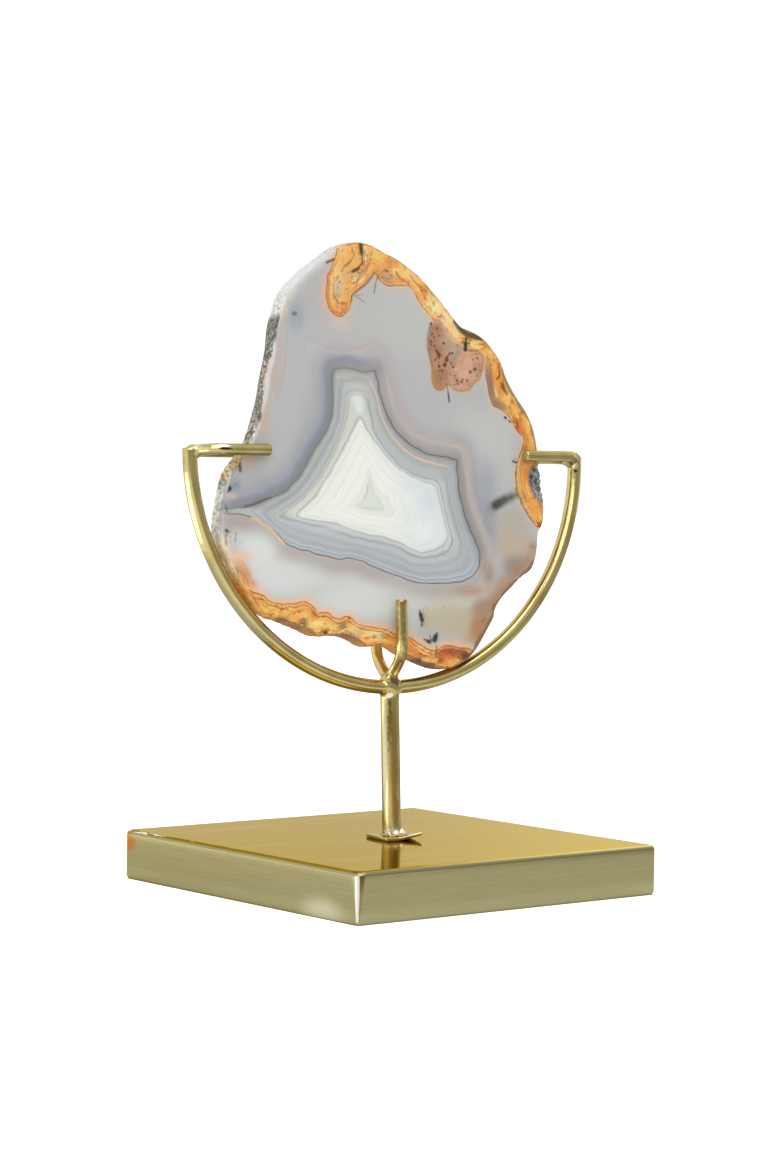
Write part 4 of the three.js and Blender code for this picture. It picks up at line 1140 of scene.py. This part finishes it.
def stone_grid():
    """Points of a square grid drawn out to the stone's outline, with x across and z up."""
    a, b = (v.ravel() for v in np.meshgrid(*[np.linspace(-1, 1, GRID + 1)] * 2, indexing="ij"))
    wide = np.abs(a) > np.abs(b)
    reach = np.where(wide, a, b)
    safe = np.where(np.abs(reach) < 1e-9, 1, reach)
    turn = np.where(wide, math.pi / 4 * b / safe, math.pi / 2 - math.pi / 4 * a / safe)
    disc = np.stack([reach * np.cos(turn), reach * np.sin(turn)], 1)
    return MIDDLE + disc * reach_towards(MIDDLE + disc, MIDDLE, stone_edge())[:, None]


def bands_at(points, dark_in):
    """One value that rises from the core, 0, to the double line, 1 and 1.22, and the dark outline, 2."""
    outer, inner = rounded(DOUBLE_OUTER, rounds=1), rounded(DOUBLE_INNER, rounds=1)
    outer_in, inner_in = depth_in(points, outer), depth_in(points, inner)
    core_far, inner_far = (
        reach_towards(points, CORE_MIDDLE, rounded(line)) for line in (rounded(CORE, rounds=1), inner)
    )
    far = np.hypot(*(points - CORE_MIDDLE).T)
    band = np.clip((far - core_far) / np.maximum(inner_far - core_far, 0.1), -0.2, 1.0)
    for within, without, low, high in ((inner_in, outer_in, 1.0, 1.22), (outer_in, dark_in, 1.22, 2.0)):
        share = -within / np.maximum(without - within, 1e-6)
        band = np.where((within <= 0) & (without >= 0), low + (high - low) * share, band)
    return np.where(dark_in < 0, 2.0 - dark_in / 10, band)


def body_colour(flat, outside, share):
    """The stone's colour outside the dark outline: halos that follow it, and soft patches further out."""
    body = sum(share[:, [k]] * profile(outside, OUTSIDE[name])
               for k, name in enumerate(("top", "upper", "right", "bottom", "left")))
    calm = between(outside, HALOS_END, BODY_STARTS)[:, None]
    body = body + calm * (painted(srgb(*BODY), flat, PATCHES) - body)
    body = painted(body, flat, [patch for patch in PATCHES if patch[3] >= STRONG])
    browned = soft_sums(flat, BROWNED)[:, 0] * between(to_edge(flat) + 0.7 * ripple(flat, 4.0, 51), 9.0, 1.0)
    return body + 0.85 * browned[:, None] * (srgb(*BROWN) - body)


def rind_colour(flat):
    """The rim's colour: crust and clear stone down the left, amber elsewhere, and crystals in the hollow."""
    left = between(flat[:, 0], -19, -25) * between(flat[:, 1], -46, -40)
    colour = painted(srgb(*AMBER), flat, AMBER_PATCHES) * RIND_SHADE
    colour = colour + left[:, None] * (profile(-flat[:, 1], LEFT_RIM) - colour)
    colour = painted(colour, flat, RIND_PATCHES)
    hollow = between(depth_in(flat, rounded(POCKET)), -0.3, 0.6)[:, None]
    return colour + hollow * (srgb(*CRYSTALS) - colour)


def mark_fields(flat):
    """For the nearest mark: the offset across it and past its end, its size, and its colour."""
    best = np.full(len(flat), np.inf)
    offset, size, ink = (np.zeros((len(flat), 3)) for _ in range(3))
    for path, half, soft, strength, colour in MARKS:
        for a, b in zip(np.array(path[:-1], float), np.array(path[1:], float)):
            long = np.linalg.norm(b - a)
            along = (b - a) / long
            from_middle = flat - (a + b) / 2
            past = np.abs(from_middle @ along) - long / 2
            across = from_middle @ np.array((-along[1], along[0]))
            away = np.hypot(np.maximum(past, 0), across) - half
            here = away < best
            best = np.where(here, away, best)
            offset[here, :2] = np.stack([across, past], 1)[here]
            size[here] = (half, soft, strength)
            ink[here] = srgb(*colour)
    size[best > MARK_REACH, 2] = 0
    offset[:, 2:] = soft_sums(flat, [(centre, reach, strength) for centre, reach, _, strength in WASH])
    return {"mark": offset, "mark_size": size, "mark_ink": ink}


def band_fields(flat):
    """What the shader needs at each flat point to draw the stone's pattern."""
    warped = flat + WANDER * np.stack([ripple(flat, WANDER_LENGTH, seed) for seed in (11, 12)], 1)
    dark_in = depth_in(warped, np.vstack([rounded(side, closed=False)[:-1] for side in SIDES]))
    near = np.stack([away_from(warped, rounded(side, closed=False)) for side in SIDES], 1)
    share = np.exp(near.min(1, keepdims=True) - near)
    share /= share.sum(1, keepdims=True)
    amber = np.maximum(*(depth_in(warped, rounded(line, rounds=1)) for line in (AMBER_TOP, AMBER_LOW)))
    lobe, halo = (depth_in(warped, rounded(line)) for line in (LOBES, HALO))
    fringed, haloed = soft_sums(flat, FRINGED, HALOED).T
    return {
        "body": body_colour(flat, np.maximum(-dark_in, 0), share),
        "warm": painted(srgb(*AMBER), flat, AMBER_PATCHES),
        "rings": np.stack([bands_at(warped, dark_in), dark_in, amber], 1),
        "side": share[:, 1:4],
        "edges": np.stack([to_edge(flat), lobe, between(flat[:, 1], -30, -44)], 1),
        "flesh": painted(srgb(*LOBE), flat, LOBE_PATCHES),
        "rind": rind_colour(flat),
        "spots": soft_sums(flat, SPECKLED, GLINTING, FROSTED),
        "skin": soft_sums(flat, SKINNED, BORDERED, CLEAR_EDGE),
        "fringe": np.stack([fringed, halo, haloed], 1),
        "wash": painted(srgb(*WASHED), flat, [(*patch[:3], 1.0) for patch in WASH]),
        **mark_fields(flat),
    }


def rim_rows(front, edge):
    """The rim's rows of points from the front edge to the back one, rough and a little proud."""
    along = np.roll(edge, -1, axis=0) - np.roll(edge, 1, axis=0)
    along /= np.linalg.norm(along, axis=1, keepdims=True)
    outward = np.stack([along[:, 1], -along[:, 0]], 1)
    rough = CRUST_DEPTH + (SKIN_DEPTH - CRUST_DEPTH) * between(edge[:, 0], -50, -20)
    rows = []
    for share in RIM_ROWS:
        depth = front + share * (STONE_BACK - front)
        place = np.stack([edge[:, 0], depth, edge[:, 1]], 1)
        shape = 0.5 * ripple(place, 2.2, 21) + 0.5 * ripple(place, 5.0, 22)
        from_middle = abs(2 * share - 1)
        out = BEVEL * (1 - from_middle**8) + rough * shape * (1 - from_middle**6)
        place[:, [0, 2]] += out[:, None] * outward
        rows.append(place)
    return rows


def agate_slice():
    """The whole slice as one closed mesh: both polished faces, the rough rim and the hollow."""
    flat = stone_grid()
    count = len(flat)
    quads, border = grid_faces(np.arange(count).reshape(GRID + 1, -1))
    sunk = depth_in(flat, rounded(POCKET))
    sink = POCKET_DEPTH * np.clip(sunk / POCKET_REACH, 0, 1) ** 0.6
    sink *= 0.2 + 0.8 * between(to_edge(flat), 0.4, 3.0)
    pitted = between(sunk, 0.1, 1.0) * (0.4 * ripple(flat, 1.7, 31) + 0.25 * ripple(flat, 3.2, 32))
    front = np.insert(flat, 1, STONE_FRONT + sink + pitted, axis=1)
    back = np.insert(flat, 1, STONE_BACK, axis=1)
    points = np.vstack([front, back, *rim_rows(front[border, 1], flat[border])])

    rim = np.arange(2 * count, len(points)).reshape(len(RIM_ROWS), -1)
    rows = [border, *rim, border + count]
    strips = [strip_faces(near, far) for near, far in zip(rows[:-1], rows[1:])]
    faces = np.vstack([quads, (quads + count)[:, ::-1], *strips])
    materials = [polished_agate(), agate_rind()]
    piece = make_piece("agate", from_holder(points), faces, materials, ["agate_slice"])
    slots = np.zeros(len(faces), np.int32)
    slots[2 * len(quads):] = 1
    slots[:len(quads)][sunk[quads].min(1) > 0.0] = 1
    piece.data.polygons.foreach_set("material_index", slots)

    def keep(name, kind, field, values):
        attribute = piece.data.attributes.new(name, kind, "POINT")
        attribute.data.foreach_set(field, values.astype(np.float32).ravel())

    inward = [np.zeros(count), np.ones(count), np.repeat(RIM_ROWS, len(border))]
    keep("inward", "FLOAT", "value", np.concatenate(inward))
    for name, values in band_fields(flat).items():
        keep(name, "FLOAT_VECTOR", "vector", np.vstack([values, values] + [values[border]] * len(RIM_ROWS)))


# Agate: surface


def banded_middle(s, place, band, side):
    """The white heart and the grey bands round it, each side with its own run of colours."""
    heart, ring = s.ramp(band, HEART), s.minus(band, 1.0)
    middle = s.ramp(ring, BANDS["left"])
    for share, name in zip(side, ("upper", "right", "bottom")):
        middle = s.mix(share, middle, s.ramp(ring, BANDS[name]))
    fine = s.step(s.sum("SINE", s.times(band, 74.0)), 0.35, 1.0)
    heart = s.over(heart, (214, 218, 204), fine, 0.16)
    middle = s.over(middle, (152, 152, 150), fine, 0.16)
    middle = s.over(middle, (192, 197, 201), s.step(s.noise(place, 60.0), 0.25, 0.55), 0.25)
    bluish = s.step(s.parts(place)[0], -0.006, 0.012)
    heart = s.over(heart, (228, 238, 245), bluish, 0.6)
    return s.mix(s.step(band, 0.99, 1.01), heart, middle)


def amber_colour(s, place, amber, wander, low, lobe):
    """Amber streaked and veined along the rim, with brown lines that follow its inner edge."""
    _, bordered, _ = s.parts(s.attribute("skin"))
    # Light and dark layers run along the amber's inner edge
    layers = s.node("CombineXYZ", s.times(wander, 0.85), 0.0, 0.0).outputs[0]
    layers = s.vector("ADD", layers, s.vector("MULTIPLY", place, (150.0, 150.0, 150.0)))
    layers = s.noise(layers, 1.0, detail=4)
    streaks = s.noise(place, 260.0, detail=5, rough=0.6, bend=0.6)
    streaks = s.fit(s.minus(layers, 0.5), 0.9, streaks)
    drawn = s.times(s.step(streaks, 0.55, 0.75), s.fit(bordered, -0.75, 1.0))
    warm = s.over(s.attribute("warm"), (236, 142, 72), drawn)
    warm = s.over(warm, (255, 214, 134), s.step(streaks, 0.42, 0.28))
    vein = s.line(s.noise(place, 150.0, detail=3, bend=0.4), 0.5, 0.028, 0.008)
    warm = s.over(warm, (138, 76, 38), s.times(vein, s.step(streaks, 0.42, 0.58)), 0.4)
    speckled = s.parts(s.attribute("spots"))[0]
    specks = s.step(s.minus(s.cells(place, 900.0)["Distance"], s.fit(speckled, 0.34, -0.02)), 0.06, -0.06)
    warm = s.over(warm, (120, 66, 34), specks, 0.8)
    warm = s.over(warm, (226, 130, 54), s.times(s.step(wander, 1.7, 0.9), bordered), 0.85)
    fringed = s.parts(s.attribute("fringe"))[0]
    warm = s.over(warm, (160, 128, 110), s.step(wander, 3.4, 2.3), fringed)
    warm = s.over(warm, (238, 164, 118), s.step(wander, 1.5, 0.7), s.times(low, 0.4))
    # Three lines, of which two stop short of the lobes
    lined = s.step(lobe, -1.5, -3.5)
    warm = s.over(warm, (158, 88, 46), s.step(wander, 0.5, 0.2), s.times(lined, 0.75))
    warm = s.over(warm, (136, 70, 34), s.line(wander, 1.4, 0.26, 0.08), s.times(lined, s.fit(low, 0.4, 0.25)))
    return s.over(warm, (158, 88, 44), s.line(wander, 2.5, 0.28, 0.08), s.times(low, 0.3))


def with_lobes(s, place, colour, lobe, shake):
    """The colour with the brown speckled lobes, which have a yellow edge that fades towards the top."""
    mottle = s.step(s.noise(place, 240.0, detail=4), 0.35, 0.65)
    flesh = s.over(s.attribute("flesh"), (156, 108, 78), mottle, 0.35)
    cell = s.cells(place, 640.0)
    spots = s.minus(cell["Distance"], s.fit(s.parts(cell["Color"])[0], 0.3, -0.06))
    flesh = s.over(flesh, (96, 52, 34), s.step(spots, 0.05, -0.05), 0.8)
    ends = s.step(s.parts(place)[2], LOBE_FADES[0] * MM, LOBE_FADES[1] * MM)
    ragged = s.step(s.fit(shake, 0.7, lobe), 0.7, 0.1)
    flesh = s.over(flesh, (168, 116, 62), ragged, s.times(ends, 0.7))
    colour = s.over(colour, (216, 178, 122), s.step(lobe, -0.9, -0.1), s.times(ends, 0.6))
    return s.mix(s.step(lobe, s.fit(ends, 0.85, -0.9), s.fit(ends, -1.6, 1.75)), colour, flesh)


def with_marks(s, place, colour, across, past, shake):
    """The colour with the inclusions and cracks, each as soft at its edge as its own size says."""
    half, soft, strength = s.parts(s.attribute("mark_size"))
    past = s.sum("MAXIMUM", past, 0.0)
    away = s.sum("SQRT", s.sum("ADD", s.times(across, across), s.times(past, past)))
    away = s.minus(s.fit(shake, 0.3, away), half)
    share = s.step(away, soft, s.times(soft, -1.0), "LINEAR")
    ink = s.over(s.attribute("mark_ink"), (150, 124, 92), s.step(s.noise(place, 1100.0), 0.4, 0.65), 0.12)
    return s.mix(s.times(share, strength), colour, ink)


def polished_agate():
    """Fine bands between given lines, amber at the rim, speckled lobes and dark inclusions."""
    s = Shader("polished_agate")
    place = s.place()
    band, dark_in, amber = s.parts(s.attribute("rings"))
    side = s.parts(s.attribute("side"))
    edge, lobe, low = s.parts(s.attribute("edges"))
    across, past, washed = s.parts(s.attribute("mark"))
    shake = s.minus(s.noise(place, 420.0, detail=3), 0.5)
    colour = banded_middle(s, place, s.fit(shake, 0.035, band), side)
    colour = s.mix(washed, colour, s.attribute("wash"))
    colour = s.mix(s.step(dark_in, 0.06, -0.06), colour, s.attribute("body"))
    plain_side = s.sum("ADD", s.sum("ADD", side[0], side[1]), side[2])
    colour = s.over(colour, (72, 74, 80), s.line(dark_in, 0.0, 0.28, 0.04), s.fit(plain_side, 0.4, 0.3))

    # A faint reddish line runs at a distance round the dark outline, and the upper left edge is frosted
    _, halo, haloed = s.parts(s.attribute("fringe"))
    colour = s.over(colour, (188, 168, 164), s.line(halo, 0.0, 0.8, 0.1), s.times(haloed, 0.5))
    colour = s.over(colour, (212, 200, 194), s.line(halo, 1.3, 0.9, 0.1), s.times(haloed, 0.35))
    frosted = s.parts(s.attribute("spots"))[2]
    frost = s.times(s.step(s.fit(shake, 2.5, edge), 3.4, 0.2), frosted)
    colour = s.over(colour, (228, 231, 230), frost, 0.8)

    # Amber, with a soft glow outside it, and the brown skin of the stone at its very edge
    skinned = s.parts(s.attribute("skin"))[0]
    amber = s.fit(s.minus(s.noise(place, 330.0, detail=4), 0.5), 1.3, amber)
    colour = s.over(colour, (250, 196, 150), s.step(amber, -3.2, 0.0), s.fit(low, 0.45, 0.25))
    warm = amber_colour(s, place, amber, s.fit(shake, 0.9, amber), low, lobe)
    colour = s.mix(s.step(amber, -0.06, 0.12), colour, warm)
    skin = s.minus(s.fit(shake, 2.2, edge), s.times(skinned, 0.9))
    skinny = s.sum("MAXIMUM", s.step(amber, -0.3, 0.3), s.step(skinned, 0.1, 0.4))
    skin = s.times(s.times(s.step(skin, 0.8, 0.3), skinny), 0.7)
    colour = s.mix(skin, colour, s.mix(low, srgb(128, 114, 90), srgb(114, 86, 62)))

    colour = with_lobes(s, place, colour, lobe, shake)
    colour = with_marks(s, place, colour, across, past, shake)
    s.principled(**{"Base Color": colour, "Roughness": 0.09})
    return s.material


def agate_rind():
    """The rough outside of the slice."""
    s = Shader("agate_rind")
    place = s.place()
    grit = s.noise(place, 900.0, detail=4, rough=0.7)
    tone = s.attribute("rind")
    _, glinting, frosted = s.parts(s.attribute("spots"))
    smooth = s.times(s.step(s.parts(place)[2], RIND_SMOOTH[0] * MM, RIND_SMOOTH[1] * MM), 0.75)
    rough = s.fit(s.sum("MAXIMUM", frosted, smooth), -0.85, 1.0)
    # Dark crumbs are laid where the bumps are lowest, so they are partly the crust's grains and partly
    # painted shade in its pits
    crumbs_and_pit_shade = s.times(s.times(s.step(grit, 0.52, 0.42), rough), 0.75)
    colour = s.mix(crumbs_and_pit_shade, tone, s.mix(1.0, tone, srgb(110, 96, 84), "MULTIPLY"))
    # White specks on the crust are painted glints
    glint = s.step(s.fit(s.noise(place, 260.0), 0.3, grit), 0.66, 0.72)
    colour = s.over(colour, (240, 239, 234), glint, s.times(glinting, 0.95))
    # Near its front edge the clear stone shows the colours of the face
    clear = s.parts(s.attribute("skin"))[2]
    inward = s.fit(s.minus(grit, 0.5), 0.5, s.attribute("inward", "Fac"))
    clear = s.times(s.step(clear, 0.06, 0.14), s.step(s.minus(inward, clear), 0.03, -0.03))
    bump = s.node("Bump")
    bump.inputs["Strength"].default_value = 0.6
    bump.inputs["Distance"].default_value = 0.0006
    s.plug(bump.inputs["Height"], grit)
    s.principled(**{
        "Base Color": s.mix(clear, colour, s.attribute("body")),
        "Roughness": 0.55,
        "Normal": bump.outputs[0],
    })
    return s.material


add_camera()
add_room()
add_floor()
base_block()
foot_plate()
brass_holder()
agate_slice()
